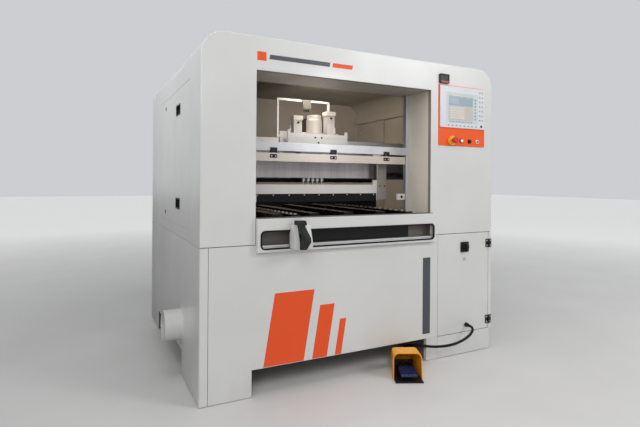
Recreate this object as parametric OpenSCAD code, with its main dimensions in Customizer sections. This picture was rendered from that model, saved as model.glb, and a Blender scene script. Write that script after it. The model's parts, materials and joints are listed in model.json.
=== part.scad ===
// Enclosed line boring machine: a sheet-steel cabinet with a work opening, a row of drilling
// spindles on a bridge, a hand-set stop carriage, a control column and a foot pedal.
// Worked out from the casing's front left corner on the floor: X right, Y back, Z up.

/* [Casing] */
// Width over the side walls
case_w = 1935; // [1900:5:2050]
// Depth over the front and rear walls
case_d = 1740; // [1640:5:1900]
// Height of the roof above the floor
case_h = 1850; // [1820:5:2000]
// Height of the joint between the lower casing and the hood
seam_z = 777; // [770:1:790]
// Thickness of the casing sheet
sheet_t = 3; // [2:0.5:4]
// Gap between neighbouring casing panels
panel_gap = 2; // [1:0.5:3]
// Depth of a panel over its folded edges
pan_d = 25; // [20:1:30]
// Radius of the hood's upper corners
hood_r = 120; // [80:5:150]
// Outer radius of the folded front corner
bend_r = 8; // [6:1:12]
// Width of the side casing that shows on the front
wrap_w = 42; // [30:1:60]
// Clearance between the casing and the floor
floor_gap = 3; // [2:1:6]

/* [Feet and frame] */
// Height of the arches between the feet
arch_h = 140; // [125:5:150]
// Width of the left feet
foot_l = 268; // [220:1:290]
// Width of the right feet, to the casing's side
foot_r = 541; // [500:1:560]
// Depth of the front feet
foot_f = 443; // [400:1:480]
// Depth of the rear feet
foot_b = 383; // [340:1:420]
// How far the right feet stand back under the casing
foot_inset = 15; // [8:1:20]
// Radius of a levelling pad
pad_r = 40; // [30:1:50]
// Height of a levelling pad
pad_h = 12; // [8:1:16]
// Side of the frame's square tube
tube = 60; // [50:1:70]
// Height of the frame's upper ring
ring_z = 738; // [700:1:740]

/* [Work opening] */
// Left edge of the work opening
open_x = 285; // [280:1:320]
// Width of the casing to the right of the opening
column_w = 518; // [500:1:530]
// Height of the casing over the opening
head_h = 175; // [165:1:190]
// Depth of the jambs and ceiling
jamb_d = 270; // [270:1:276]
// Front of the guard frame behind the casing's front
guard_y = 220; // [214:1:224]
// Width of a guard post
post_w = 24; // [20:1:30]
// Depth of the guard posts and beam
guard_d = 30; // [26:1:34]
// Underside of the guard beam
beam_z = 1280; // [1276:1:1284]
// Height of the guard beam
beam_h = 50; // [46:1:54]
// Thickness of the window pane
pane_t = 4; // [3:0.5:5]
// Height of the swinging flap
flap_h = 57; // [50:1:60]
// Distance of the outer flap hinges from the sides of the opening
flap_in = 178; // [150:1:220]

/* [Front tray and handle] */
// Height of the sill over the floor
sill_z = 914; // [908:1:920]
// Height of the tray's front
tray_h = 172; // [168:1:176]
// How far the tray reaches past the opening's right edge
tray_lap = 23; // [15:1:30]
// How far the tray stands out of the casing
tray_out = 30; // [28:1:34]
// Height of the handle's slot
slot_h = 89; // [86:1:92]
// Corner radius of the slot
slot_r = 20; // [14:1:26]
// Height of the slot over the tray's lower edge
slot_up = 17; // [16:1:18]
// Centre of the handle carriage
carriage_x = 510; // [480:1:700]
// Width of the handle carriage
carriage_w = 100; // [90:1:110]
// Width of the grip's bow
grip_w = 30; // [24:1:34]
// Radius of the thumb button
thumb_r = 8; // [6:0.5:10]

/* [Control column] */
// Width of the control plate
plate_w = 387; // [385:1:400]
// Height of the control plate
plate_h = 382; // [380:1:395]
// Control plate's upper edge below the roof
plate_drop = 131; // [125:1:150]
// Thickness of the control plate
plate_t = 4; // [3:0.5:6]
// Width of the display bezel
bezel_w = 371; // [360:1:374]
// Height of the display bezel
bezel_h = 262; // [255:1:266]
// Width of the screen
screen_w = 264; // [250:1:290]
// Height of the screen
screen_h = 190; // [180:1:200]
// Height of the row of buttons over the plate's lower edge
button_up = 34; // [31:1:40]
// Radius of the emergency stop's collar
collar_r = 30; // [26:1:32]
// Radius of the emergency stop's mushroom
mushroom_r = 20; // [17:1:22]
// Radius of a push button
button_r = 10; // [8:0.5:11]

/* [Electrical cabinet] */
// Width of the electrical cabinet
cab_w = 455; // [450:1:458]
// Depth of the electrical cabinet
cab_d = 600; // [520:5:640]
// Width of the strip that carries the door hinges
strip_w = 24; // [24:1:26]
// Height of a door hinge
hinge_h = 54; // [48:3:60]
// Radius of a door hinge's knuckle
knuckle_r = 6; // [5.5:0.1:6.5]
// Radius of the door hinge pins
pin_r = 2.5; // [2:0.1:3]
// Side of the main switch
switch_w = 65; // [58:1:70]

/* [Side] */
// Front edge of the lift-off side panel
side_y = 250; // [240:1:280]
// Width of the side panel
side_w = 1024; // [990:1:1040]
// Lower edge of the side panel
side_z = 844; // [840:1:860]
// Side panel's upper edge below the roof
side_drop = 203; // [195:1:230]
// Width of a recessed grip
recess_w = 120; // [100:1:130]
// Height of a recessed grip
recess_h = 54; // [44:1:60]
// Depth of a recessed grip
recess_d = 24; // [18:1:30]
// Outer radius of the dust port
port_r = 85; // [75:1:88]
// Length of the dust port
port_len = 100; // [80:1:120]
// Wall of the dust port
port_t = 2.5; // [2:0.5:4]

/* [Boring unit] */
// Boring head's place from the opening's left edge
head_in = 513; // [480:1:540]
// Height of the panel supports over the floor
table_z = 930; // [928:1:932]
// Spacing of the spindles
pitch = 32; // [30:1:34]
// Number of teeth on a spindle gear
teeth = 16; // [14:2:20]
// Face width of a spindle gear
gear_w = 18; // [14:1:22]
// Radius of a spindle shaft
shaft_r = 9; // [8:0.5:10]
// Radius of a drill
drill_r = 4; // [2.5:0.5:5]
// Radius of a chuck
chuck_r = 13; // [11:0.5:14]
// Width of the boring carriage
head_w = 415; // [405:1:420]
// Radius of the spindle motor
motor_r = 50; // [44:1:52]
// Radius of the head's guide rods
guide_r = 10; // [8:0.5:12]
// Thickness of the bridge columns
column_t = 30; // [25:1:34]
// Wall of the bridge beam
beam_t = 10; // [8:1:14]

/* [Pedal] */
// Pedal's place to the left of the right foot
pedal_in = 240; // [225:1:260]
// Pedal's place in front of the casing
pedal_out = 106; // [100:1:130]
// Turn of the pedal
pedal_turn = -25; // [-28:1:-20]
// Width of the pedal guard
guard_w = 165; // [150:1:180]
// Height of the pedal guard
guard_h = 147; // [135:1:160]
// Wall of the pedal guard
guard_t = 5; // [4:0.5:6]

/* [Hidden] */
$fn = 64;
fit = 0.05;
running = 0.3;
cut = 1;
weld = 0.2;

casing_white = [0.84, 0.84, 0.83];
frame_grey = [0.3, 0.31, 0.33];
black = [0.08, 0.08, 0.09];
steel = [0.72, 0.73, 0.74];
aluminium = [0.78, 0.8, 0.8];
orange = [0.95, 0.38, 0.17];
yellow = [0.93, 0.62, 0.1];
cream = [0.8, 0.74, 0.67];
glass = [0.45, 0.42, 0.38, 0.35];

hood_z = seam_z + panel_gap / 2;
lower_z = seam_z - panel_gap / 2;
cab_x = case_w - cab_w;
arch_x = case_w - foot_r;
arch_y = case_d - foot_b;
foot_x = case_w - foot_inset;
skirt_z = arch_h - panel_gap;
leg_t = sheet_t + 1;
open_x1 = case_w - column_w;
open_w = open_x1 - open_x;
open_z = case_h - head_h;
guard_y1 = guard_y + guard_d;
beam_z1 = beam_z + beam_h;
ring_z0 = ring_z - tube;
cross_y = 800;

tray_w = open_w + tray_lap;
tray_z = sill_z - tray_h;
tray_y = -tray_out;
notch_z = tray_z + sheet_t;
recess_side = 3;
recess_back = pan_d + 3;
slot_x0 = open_x + slot_r;
slot_x1 = open_x + tray_w - slot_r;
slot_z0 = tray_z + slot_up;
slot_z1 = slot_z0 + slot_h;
trim_lip = 3;
trim_out = 5;
trim_front = 4;
rail_h = 30;
rail_d = 18;
rail_z1 = tray_z + sheet_t + rail_h;

plate_lap = 5;
plate_x = cab_x - plate_lap;
plate_z = case_h - plate_drop - plate_h;
button_z = plate_z + button_up;
bezel_t = 8;
screen_sunk = 2;
estop_in = 108;
start_in = 186;
stop_in = 256;
key_in = 320;
estop_x = plate_x + estop_in;
start_x = plate_x + start_in;
stop_x = plate_x + stop_in;
key_x = plate_x + key_in;
ring_d = 6;

door_x0 = cab_x + panel_gap / 2;
door_x1 = case_w - strip_w - 2 * panel_gap;
hinge_x = door_x1 + panel_gap;
hinge_y = -knuckle_r - panel_gap;
leaf_t = 4;
leaf_reach = 25;
door_z0 = arch_h + panel_gap / 2;
hinge_up = 57;
hinge_down = 72;
hinge_low = door_z0 + hinge_up;
hinge_high = lower_z - hinge_down;
switch_in = 218;
switch_down = 87;
lock_down = 165;
switch_x = cab_x + switch_in;
switch_z = lower_z - switch_down;
lock_z = lower_z - lock_down;
lock_r = 9;
gland_in = 235;
gland_x = cab_x + gland_in;
gland_z = 185;
gland_len = 24;
gland_r = 10;

side_h = case_h - side_drop - side_z;
grip_in = 349;
grip_up = 124;
grip_down = 121;
grip_y = side_y + grip_in;
grip_z = [side_z + grip_up, side_z + side_h - grip_down];
quarter_in = 215;
quarter_up = 46;
quarter_down = 56;
quarter_y = side_y + side_w - quarter_in;
quarter_z = [side_z + quarter_up, side_z + side_h - quarter_down];
quarter_r = 10;
port_y = 462;
port_z = 287;

head_x = open_x + head_in;
head_x0 = head_x - head_w / 2;
head_x1 = head_x + head_w / 2;
spindle_y = 400;
motor_shift = 18;
motor_y = spindle_y - motor_shift;
carriage_y = 440;
carriage_t = 20;
bridge_y = 480;
bridge_d = 160;
bridge_z = 1120;
bridge_h = 210;
rail_in = 35;
rail_zs = [bridge_z + rail_in, bridge_z + bridge_h - rail_in];
shelf_z = 1306;
shelf_t = 16;
upstand_z = 1419;
gear_z = 1240;
gear_m = pitch / teeth;
gear_r = pitch / 2;
gearbox_z0 = 1210;
gearbox_z1 = 1290;
gearbox_x = 100;
cover_t = 8;
head_plate_t = 12;
guide_x = 157;
drill_tip = 1035;
column_in = 40;
columns_x = [column_in, case_w - column_in - column_t];
column_y = 440;
column_d = 240;

presser_in = 33;
presser_short = 200;
presser_gap = 50;
presser_x = [open_x + presser_in, open_x1 - presser_short];
presser_y = guard_y1 + presser_gap;
presser_d = 45;
presser_z = 1030;
presser_h = 55;
pad_t = 51;
lift_z = 1236;
lift_z1 = 1300;
lift_w = 53;
lift_rod_r = 8;

pedal_x = arch_x - pedal_in;
pedal_y = -pedal_out;
pedal_front = 120;
pedal_rear = 130;
guard_front = 70;
guard_roof = 28;
guard_rear = pedal_rear - 10;
guard_draw = 20;
treadle_y = 70;
treadle_z = 46;
treadle_pin = 5;
relief_len = 20;
relief_z = 45;

// Box of the whole machine in plan, and its middle
x_mid = (case_w - port_len) / 2;
pedal_reach = (guard_w / 2 - guard_t) * sin(-pedal_turn) + pedal_front * cos(pedal_turn);
y_mid = (case_d + pedal_y - pedal_reach) / 2;

// Route of the pedal's cable: its bow from the gland on the door, then its slack behind the pedal
cable_r = 8;
cable_sides = 10;
pedal_dir = [-sin(pedal_turn), cos(pedal_turn), 0];
cable_start = [gland_x, -gland_len, gland_z];
cable_end = [pedal_x, pedal_y, relief_z] + pedal_dir * (pedal_rear + relief_len);
cable_bow = [
    [0, 0, 0], [0, -16, 0], [-4, -36, -4], [-15, -52, -11], [-32, -63, -20], [-60, -70, -35],
    [-105, -72, -53], [-160, -68, -69], [-210, -59, -77], [-255, -46, -81], [-300, -26, -83]];
cable_slack = [
    [158, -50, 57], [129, -20, 55], [108, 12, 49], [98, 48, 38], [96, 84, 22], [92, 112, 3],
    [80, 131, -16], [62, 138, -29], [43, 130, -36], [30, 109, -36], [24, 84, -28], [19, 58, -14],
    [13, 37, -3]];
cable_route = concat(
    [for (p = cable_bow) cable_start + p],
    [for (p = cable_slack) cable_end + p]);

// Shared shapes

module place() translate([-x_mid, -y_mid, 0]) children();

module span(a, b) translate(a) cube(b - a);

module sheet_front(y, t) translate([0, y + t, 0]) rotate([90, 0, 0]) linear_extrude(t) children();

module sheet_side(x, t) translate([x, 0, 0]) rotate([90, 0, 90]) linear_extrude(t) children();

module rod_x(p, r, l) translate(p) rotate([0, 90, 0]) cylinder(r = r, h = l);

module rod_y(p, r, l) translate(p) rotate([-90, 0, 0]) cylinder(r = r, h = l);

module rod_z(p, r, l) translate(p) cylinder(r = r, h = l);

module rect(a, b) translate(a) square(b - a);

module round_rect(a, b, r) {
    rect([a.x + r, a.y], [b.x - r, b.y]);
    rect([a.x, a.y + r], [b.x, b.y - r]);
    for (x = [a.x + r, b.x - r], y = [a.y + r, b.y - r]) translate([x, y]) circle(r);
}

// A folded panel: the skin of an outline with a wall round its edge, $inset moves the outline in
module pan() difference() {
    linear_extrude(pan_d) let($inset = 0) children();
    translate([0, 0, -cut]) linear_extrude(pan_d - sheet_t + cut) let($inset = sheet_t) children();
}

module front_pan() translate([0, pan_d, 0]) rotate([90, 0, 0]) pan() children();

module rear_pan() translate([0, case_d - pan_d, 0]) mirror([0, 1, 0]) rotate([90, 0, 0]) pan() children();

// Frame and feet

module leg_boxes() color(frame_grey) place() {
    leg_box(sheet_t, pan_d, foot_l, foot_f);
    leg_box(sheet_t, arch_y, foot_l, case_d - pan_d);
    leg_box(arch_x, pan_d, foot_x - sheet_t, foot_f);
    leg_box(arch_x, arch_y, foot_x - sheet_t, case_d - pan_d);
}

// Floor plate on four pads with four walls set on it, open at the top
module leg_box(x0, y0, x1, y1) {
    z = pad_h + leg_t;
    span([x0, y0, pad_h], [x1, y1, z]);
    for (x = [x0 + pad_r, x1 - pad_r], y = [y0 + pad_r, y1 - pad_r])
        rod_z([x, y, 0], pad_r - sheet_t, pad_h);
    for (y = [y0, y1 - leg_t]) span([x0, y, z + weld], [x1, y + leg_t, skirt_z]);
    for (x = [x0, x1 - leg_t])
        span([x, y0 + leg_t + weld, z + weld], [x + leg_t, y1 - leg_t - weld, skirt_z]);
}

module post(x, y, z0, z1) span([x, y, z0], [x + tube, y + tube, z1]);

module tube_x(x0, x1, y, z) span([x0 + weld, y, z], [x1 - weld, y + tube, z + tube]);

module tube_y(x, y0, y1, z) span([x, y0 + weld, z], [x + tube, y1 - weld, z + tube]);

// Posts in the feet, an upper ring with cross tubes and a lower ring, each tube a bar of its own
module base_frame() color(frame_grey) place() {
    left = pan_d;
    right = case_w - pan_d - tube;
    front = pan_d + leg_t;
    back = case_d - pan_d - leg_t - tube;
    behind = cab_d + panel_gap;
    foot_top = pad_h + leg_t;
    post(left, front, foot_top, hood_z);
    post(left, back, foot_top, hood_z);
    post(right, back, foot_top, hood_z);
    post(right, behind, arch_h, ring_z0 - weld);
    post(right, front, ring_z0, hood_z);
    post(right - pan_d, front, foot_top, arch_h);
    for (x = [left, right]) tube_y(x, front + tube, back, ring_z0);
    for (y = [front, foot_f, cross_y, back]) tube_x(left + tube, right, y, ring_z0);
    tube_y(left, front + tube, back, arch_h);
    tube_y(right, behind + tube, back, arch_h);
    tube_x(left + tube, right, back, arch_h);
    tube_x(left + tube, cab_x - panel_gap, front, arch_h);
}

// Lower casing

module lower_front_outline(m = $inset) {
    x0 = wrap_w + panel_gap + m;
    x1 = cab_x - panel_gap / 2 - m;
    z0 = floor_gap + m;
    z1 = lower_z - m;
    polygon([
        [x0, z0], [foot_l - m, z0], [foot_l - m, arch_h + m], [arch_x + m, arch_h + m],
        [arch_x + m, z0], [x1, z0], [x1, z1], [open_x1 + m, z1], [open_x1 + m, notch_z - m],
        [open_x - m, notch_z - m], [open_x - m, z1], [x0, z1]]);
}

module lower_front_panel() color(casing_white) place() front_pan() lower_front_outline();

// Side wall folded round the front corner, seen from above
module left_profile() {
    difference() {
        corner_rect([0, 0], [wrap_w, case_d], bend_r);
        corner_rect([sheet_t, sheet_t], [wrap_w + cut, case_d + cut], bend_r - sheet_t);
    }
    rect([wrap_w - sheet_t, 0], [wrap_w, pan_d]);
}

module corner_rect(a, b, r) {
    rect([a.x + r, a.y], b);
    rect([a.x, a.y + r], b);
    translate(a + [r, r]) circle(r);
}

module lower_left_panel() color(casing_white) place() difference() {
    translate([0, 0, floor_gap]) linear_extrude(lower_z - floor_gap) left_profile();
    span([-cut, foot_f, 0], [wrap_w + cut, arch_y, arch_h]);
    rod_x([-cut, port_y, port_z], port_r + running, sheet_t + 2 * cut);
}

module lower_right_panel() color(casing_white) place() {
    span([case_w - sheet_t, cab_d + panel_gap, arch_h], [case_w, case_d, lower_z]);
    span([case_w - pan_d, cab_d + panel_gap, arch_h], [case_w, cab_d + panel_gap + sheet_t, lower_z]);
    right_foot_skirts();
}

module right_foot_skirts() {
    span([door_x0, 0, floor_gap], [foot_x, sheet_t, skirt_z]);
    span([door_x0, 0, floor_gap], [door_x0 + sheet_t, pan_d, skirt_z]);
    span([foot_x - sheet_t, 0, floor_gap], [foot_x, foot_f, skirt_z]);
    span([foot_x - sheet_t, arch_y, floor_gap], [foot_x, case_d - pan_d, skirt_z]);
}

module lower_rear_outline(m = $inset) {
    x0 = sheet_t + m;
    x1 = case_w - sheet_t - m;
    z0 = floor_gap + m;
    z1 = lower_z - m;
    polygon([
        [x0, z0], [foot_l - m, z0], [foot_l - m, arch_h + m], [arch_x + m, arch_h + m],
        [arch_x + m, z0], [foot_x - m, z0], [foot_x - m, arch_h + m], [x1, arch_h + m],
        [x1, z1], [x0, z1]]);
}

// Hood

module hood_outline(m, z0) {
    r = hood_r - m;
    top = case_h - m;
    rect([m, z0], [case_w - m, top - r]);
    rect([m + r, z0], [case_w - m - r, top]);
    for (x = [m + r, case_w - m - r]) translate([x, top - r]) circle(r);
}

module hood_shell() color(casing_white) place() {
    ledge = 15;
    difference() {
        sheet_front(pan_d, case_d - 2 * pan_d) {
            difference() {
                hood_outline(0, hood_z);
                hood_outline(sheet_t, hood_z - cut);
            }
            rect([0, hood_z], [column_in - panel_gap, hood_z + sheet_t]);
            rect([case_w - column_in + panel_gap, hood_z], [case_w, hood_z + sheet_t]);
        }
        sheet_side(-cut, sheet_t + 2 * cut)
            rect([side_y - panel_gap, side_z - panel_gap],
                 [side_y + side_w + panel_gap, side_z + side_h + panel_gap]);
    }
    sheet_side(sheet_t, sheet_t) difference() {
        rect([side_y - 2 * ledge, side_z - 2 * ledge],
             [side_y + side_w + 2 * ledge, side_z + side_h + 2 * ledge]);
        rect([side_y + ledge, side_z + ledge], [side_y + side_w - ledge, side_z + side_h - ledge]);
    }
}

module hood_front_outline(m = $inset) difference() {
    hood_outline(m, hood_z + m);
    rect([open_x - m, hood_z - cut], [open_x1 + m, open_z + m]);
}

module hood_front() color(casing_white) place() front_pan() hood_front_outline();

module rear_panels() color(casing_white) place() {
    vent_w = 260;
    vent_h = 10;
    vent_step = 30;
    vents = 10;
    rear_pan() lower_rear_outline();
    difference() {
        rear_pan() hood_outline($inset, hood_z + $inset);
        for (side = [0.25, 0.75], i = [0 : vents - 1])
            translate([case_w * side - vent_w / 2, case_d - pan_d, case_h - 180 - i * vent_step])
                cube([vent_w, pan_d + cut, vent_h]);
    }
}

// Work opening

module opening_liner() color(casing_white) place() sheet_front(pan_d, jamb_d - pan_d) difference() {
    rect([open_x - sheet_t, hood_z], [open_x1 + sheet_t, open_z + sheet_t]);
    rect([open_x, hood_z - cut], [open_x1, open_z]);
}

module guard_frame() color(aluminium) place() {
    foot = sill_z - sheet_t;
    for (x = [open_x, open_x1 - post_w]) span([x, guard_y, foot], [x + post_w, guard_y1, open_z]);
    span([open_x, guard_y, beam_z], [open_x1, guard_y1, beam_z1]);
}

module guard_window() color(glass) place() {
    lap = 15;
    joint = open_x + open_w * 0.568;
    z0 = beam_z1 - lap;
    span([open_x + lap, guard_y1, z0], [joint - panel_gap / 2, guard_y1 + pane_t, open_z]);
    span([joint + panel_gap / 2, guard_y1, z0], [open_x1 - lap, guard_y1 + pane_t, open_z]);
}

flap_mid = open_x + open_w / 2;
flap_pitch = open_w / 2 - flap_in;
flap_t = 4;
flap_y = guard_y + 1;
flap_axis_y = flap_y + flap_t / 2;
flap_axis_z = beam_z - 6;
flap_knuckle = 5;
flap_pin = 2;
flap_hinge_w = 42;
flap_third = flap_hinge_w / 3;
flap_leaf_t = 5;
flap_leaf_h = 20;
flap_leaf_down = 8;
flap_plate_h = 18;
flap_web = 3;

// Plate on the beam's front, the two outer knuckles under the beam, and the pin
module flap_hinge_brackets() color(black) place() for (i = [-1 : 1]) {
    x = flap_mid + i * flap_pitch;
    span([x - flap_hinge_w / 2, guard_y - flap_leaf_t, beam_z],
         [x + flap_hinge_w / 2, guard_y, beam_z + flap_plate_h]);
    for (side = [-1, 1]) {
        x0 = x + side * (flap_third + running) - flap_third / 2;
        rod_x([x0, flap_axis_y, flap_axis_z], flap_knuckle, flap_third);
        span([x0, flap_axis_y - flap_web, flap_axis_z + cut],
             [x0 + flap_third, flap_axis_y + flap_web, beam_z]);
    }
    rod_x([x - flap_hinge_w / 2, flap_axis_y, flap_axis_z], flap_pin, flap_hinge_w);
}

// Flap with the middle knuckles in its upper edge and a leaf on its face at each hinge
module safety_flap() color(cream) place() {
    z1 = flap_axis_z - flap_knuckle - 1;
    z0 = beam_z - flap_h - 3;
    x0 = open_x + post_w + 4;
    x1 = open_x1 - post_w - 4;
    span([x0, flap_y, z0], [x1, flap_y + flap_t, z1]);
    for (i = [-1 : 1]) {
        x = flap_mid + i * flap_pitch;
        span([x - flap_hinge_w / 2, flap_y - flap_leaf_t, z1 - flap_leaf_down - flap_leaf_h],
             [x + flap_hinge_w / 2, flap_y + cut, z1 - flap_leaf_down]);
        difference() {
            union() {
                rod_x([x - flap_third / 2, flap_axis_y, flap_axis_z], flap_knuckle, flap_third);
                span([x - flap_third / 2, flap_y, z1 - cut],
                     [x + flap_third / 2, flap_y + flap_t, flap_axis_z - flap_web]);
            }
            rod_x([x - flap_third, flap_axis_y, flap_axis_z], flap_pin + fit, 2 * flap_third);
        }
    }
}

// Front tray with the handle's slot

module slot_outline(grow) round_rect(
    [slot_x0 - grow, slot_z0 - grow], [slot_x1 + grow, slot_z1 + grow], slot_r + grow);

module front_tray() color(casing_white) place() {
    x0 = open_x + recess_side;
    x1 = open_x1 - recess_side;
    difference() {
        union() {
            span([open_x, tray_y, tray_z], [open_x + tray_w, 0, sill_z]);
            span([x0, -cut, tray_z + 2 * sheet_t], [x1, recess_back, sill_z]);
        }
        span([open_x + sheet_t, tray_y + sheet_t, tray_z + sheet_t],
             [open_x + tray_w - sheet_t, cut / 2, sill_z - sheet_t]);
        span([x0 + sheet_t, tray_y + sheet_t, tray_z + 3 * sheet_t],
             [x1 - sheet_t, recess_back - sheet_t, sill_z - sheet_t]);
        sheet_front(tray_y - cut, sheet_t + 2 * cut) slot_outline(0);
    }
}

module slot_trim() color(black) place() {
    sheet_front(tray_y - trim_front, trim_front) difference() {
        slot_outline(trim_out);
        slot_outline(-trim_lip);
    }
    sheet_front(tray_y - cut, sheet_t + cut + 2) difference() {
        slot_outline(0);
        slot_outline(-trim_lip);
    }
}

module carriage_rail() color(aluminium) place() difference() {
    y0 = tray_y + sheet_t + 5;
    span([slot_x0, y0, tray_z + sheet_t], [slot_x1, y0 + rail_d, rail_z1]);
    span([slot_x0 - cut, y0 - cut, rail_z1 - 12], [slot_x1 + cut, y0 + 4, rail_z1 - 7]);
}

wedge_back = tray_y - trim_front - 2;
wedge_low = tray_z + 15;
wedge_top = sill_z - 34;
wedge_toe = -104;
wedge_brow = -72;
wedge_knee = tray_z + 48;

module handle_carriage() color(casing_white) place() {
    neck = carriage_w / 2 - 10;
    x0 = carriage_x - neck;
    x1 = carriage_x + neck;
    span([x0, tray_y + sheet_t + 3, rail_z1 + running], [x1, -2, slot_z1 - 10]);
    span([x0, wedge_back - cut, slot_z0 + 26], [x1, tray_y + sheet_t + 4, slot_z1 - 13]);
    sheet_side(carriage_x - carriage_w / 2, carriage_w) polygon([
        [wedge_back, wedge_low], [wedge_toe, wedge_low], [wedge_toe, wedge_knee],
        [wedge_brow, wedge_top], [wedge_back, wedge_top]]);
}

grip_x = carriage_x - 10;
grip_top = wedge_top + 23;
thumb_y = -78;
thumb_travel = 3;

// Bow of the grip, seen from the side, closed on the carriage's sloping face
module grip_profile() difference() {
    polygon([
        [-50, wedge_top], [-50, grip_top - 5], [-56, grip_top], [-96, grip_top], [-106, grip_top - 10],
        [-108, grip_top - 31], [-176, grip_top - 81], [-180, grip_top - 99], [-126, wedge_low],
        [wedge_toe, wedge_low], [wedge_toe, wedge_knee], [wedge_brow, wedge_top]]);
    polygon([
        [-112, wedge_low + 33], [-124, wedge_low + 29], [-148, wedge_low + 49],
        [-146, wedge_low + 58], [-106, wedge_low + 86], [-97, wedge_low + 81]]);
}

module handle_grip() color(black) place() difference() {
    union() {
        sheet_side(grip_x - grip_w / 2, grip_w) grip_profile();
        sheet_side(grip_x - grip_w / 2 - 8, grip_w + 16) polygon([
            [-50, wedge_top], [-50, grip_top - 5], [-56, grip_top], [-96, grip_top],
            [-106, grip_top - 10], [-107, wedge_top]]);
    }
    rod_z([grip_x, thumb_y, grip_top - 10], thumb_r + fit, 10 + cut);
}

module thumb_button() color([0.12, 0.47, 0.2]) place()
    rod_z([grip_x, thumb_y, grip_top - 10 + thumb_travel + 1], thumb_r, 11 - thumb_travel);

// Control column

module control_plate() color(orange) place() sheet_front(-plate_t, plate_t)
    round_rect([plate_x, plate_z], [plate_x + plate_w, plate_z + plate_h], 4);

bezel_x = plate_x + (plate_w - bezel_w) / 2;
bezel_z1 = plate_z + plate_h - 5;
screen_x = bezel_x + 47;
screen_z = bezel_z1 - 42 - screen_h;

module display() color([0.92, 0.91, 0.93]) place() difference() {
    sheet_front(-plate_t - bezel_t, bezel_t)
        round_rect([bezel_x, bezel_z1 - bezel_h], [bezel_x + bezel_w, bezel_z1], 4);
    sheet_front(-plate_t - bezel_t - cut, cut + screen_sunk)
        rect([screen_x, screen_z], [screen_x + screen_w, screen_z + screen_h]);
}

stem_r = 11;
collar_d = 10;
stop_travel = 4;

module control_bezels() {
    color(yellow) place() estop_collar();
    color(steel) place() button_bezels();
}

module estop_collar() difference() {
    rod_y([estop_x, -plate_t - collar_d, button_z], collar_r, collar_d);
    rod_y([estop_x, -plate_t - collar_d - cut, button_z], stem_r + fit, collar_d + 2 * cut);
}

module estop_button() color([0.85, 0.15, 0.15]) place() {
    back = -plate_t - stop_travel - 2;
    head = back - 18;
    rod_y([estop_x, head - cut, button_z], stem_r, back - head + cut);
    translate([estop_x, head, button_z]) rotate([90, 0, 0]) rotate_extrude() union() {
        rect([0, 0], [mushroom_r - 4, 20]);
        rect([0, 4], [mushroom_r, 16]);
    }
}

module button_bezels() for (x = [start_x, stop_x, key_x]) difference() {
    rod_y([x, -plate_t - ring_d, button_z], button_r + 4, ring_d);
    rod_y([x, -plate_t - ring_d - cut, button_z], button_r + fit, ring_d + 2 * cut);
}

module push_button(x) rod_y([x, -plate_t - ring_d - 4, button_z], button_r, ring_d + 1.5);

module start_button() color([0.93, 0.93, 0.93]) place() push_button(start_x);

module stop_button() color(black) place() push_button(stop_x);

module key_switch() color(black) place() difference() {
    push_button(key_x);
    translate([key_x, -plate_t - ring_d - 4, button_z]) cube([3, 6, 10], center = true);
}

module service_port() color(black) place() difference() {
    z = plate_z + plate_h + 8;
    sheet_front(-14, 14) round_rect([plate_x + 4, z], [plate_x + 78, z + 58], 5);
    sheet_front(-14 - cut, 5) round_rect([plate_x + 10, z + 20], [plate_x + 72, z + 52], 3);
}

// Electrical cabinet

module electrical_cabinet() color(casing_white) place() {
    difference() {
        span([cab_x + panel_gap, pan_d, arch_h], [case_w, cab_d, ring_z0]);
        span([cab_x + panel_gap + sheet_t, pan_d - cut, arch_h + sheet_t],
             [case_w - sheet_t, cab_d - sheet_t, ring_z0 - sheet_t]);
    }
    span([case_w - sheet_t, 0, arch_h], [case_w, cab_d, lower_z]);
    span([case_w - strip_w, 0, arch_h], [case_w, sheet_t, lower_z]);
    span([case_w - strip_w, 0, arch_h], [case_w - strip_w + sheet_t, pan_d + sheet_t, ring_z0]);
}

board_y = cab_d - 40;

module electrical_panel() color([0.55, 0.57, 0.6]) place() {
    mounting_plate();
    devices();
}

module mounting_plate() {
    board_in = 40;
    board_up = 30;
    stud_in = 70;
    stud_up = 60;
    stud_r = 8;
    span([cab_x + board_in, board_y, arch_h + board_up],
         [case_w - board_in, board_y + sheet_t, ring_z0 - board_up]);
    for (x = [cab_x + stud_in, case_w - stud_in], z = [arch_h + stud_up, ring_z0 - stud_up])
        rod_y([x, board_y + sheet_t + weld, z], stud_r, cab_d - 2 * sheet_t - board_y - weld);
}

// Three rails of devices with a cable duct under each
module devices() {
    device_w = 46;
    device_h = 85;
    device_d = 62;
    step = 54;
    rail_in = 60;
    rail_d = 8;
    duct_d = 50;
    duct_h = 30;
    duct_low = 45;
    row_h = 150;
    for (row = [0 : 2]) let(z = arch_h + 90 + row * row_h) {
        span([cab_x + rail_in, board_y - rail_d, z + duct_h],
             [case_w - rail_in, board_y - weld, z + duct_d]);
        span([cab_x + rail_in, board_y - duct_d, z - duct_low],
             [case_w - rail_in, board_y - weld, z - duct_low + duct_h]);
        for (i = [0 : 5]) let(x = cab_x + rail_in + 15 + i * step)
            span([x, board_y - rail_d - device_d, z], [x + device_w, board_y - rail_d - weld, z + device_h]);
    }
}

// Outer knuckles, leaf and pin on the cabinet's strip
module frame_hinge_leaves() color(black) place() for (z = [hinge_low, hinge_high]) {
    third = hinge_h / 3;
    z0 = z - hinge_h / 2;
    span([hinge_x + knuckle_r + 1.5, -leaf_t, z0], [hinge_x + leaf_reach, 0, z0 + hinge_h]);
    for (low = [z0, z0 + 2 * third + running]) {
        rod_z([hinge_x, hinge_y, low], knuckle_r, third - running);
        span([hinge_x, hinge_y + 2, low],
             [hinge_x + knuckle_r + 2, -panel_gap - 0.5, low + third - running]);
    }
    rod_z([hinge_x, hinge_y, z0], pin_r, hinge_h);
}

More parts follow.
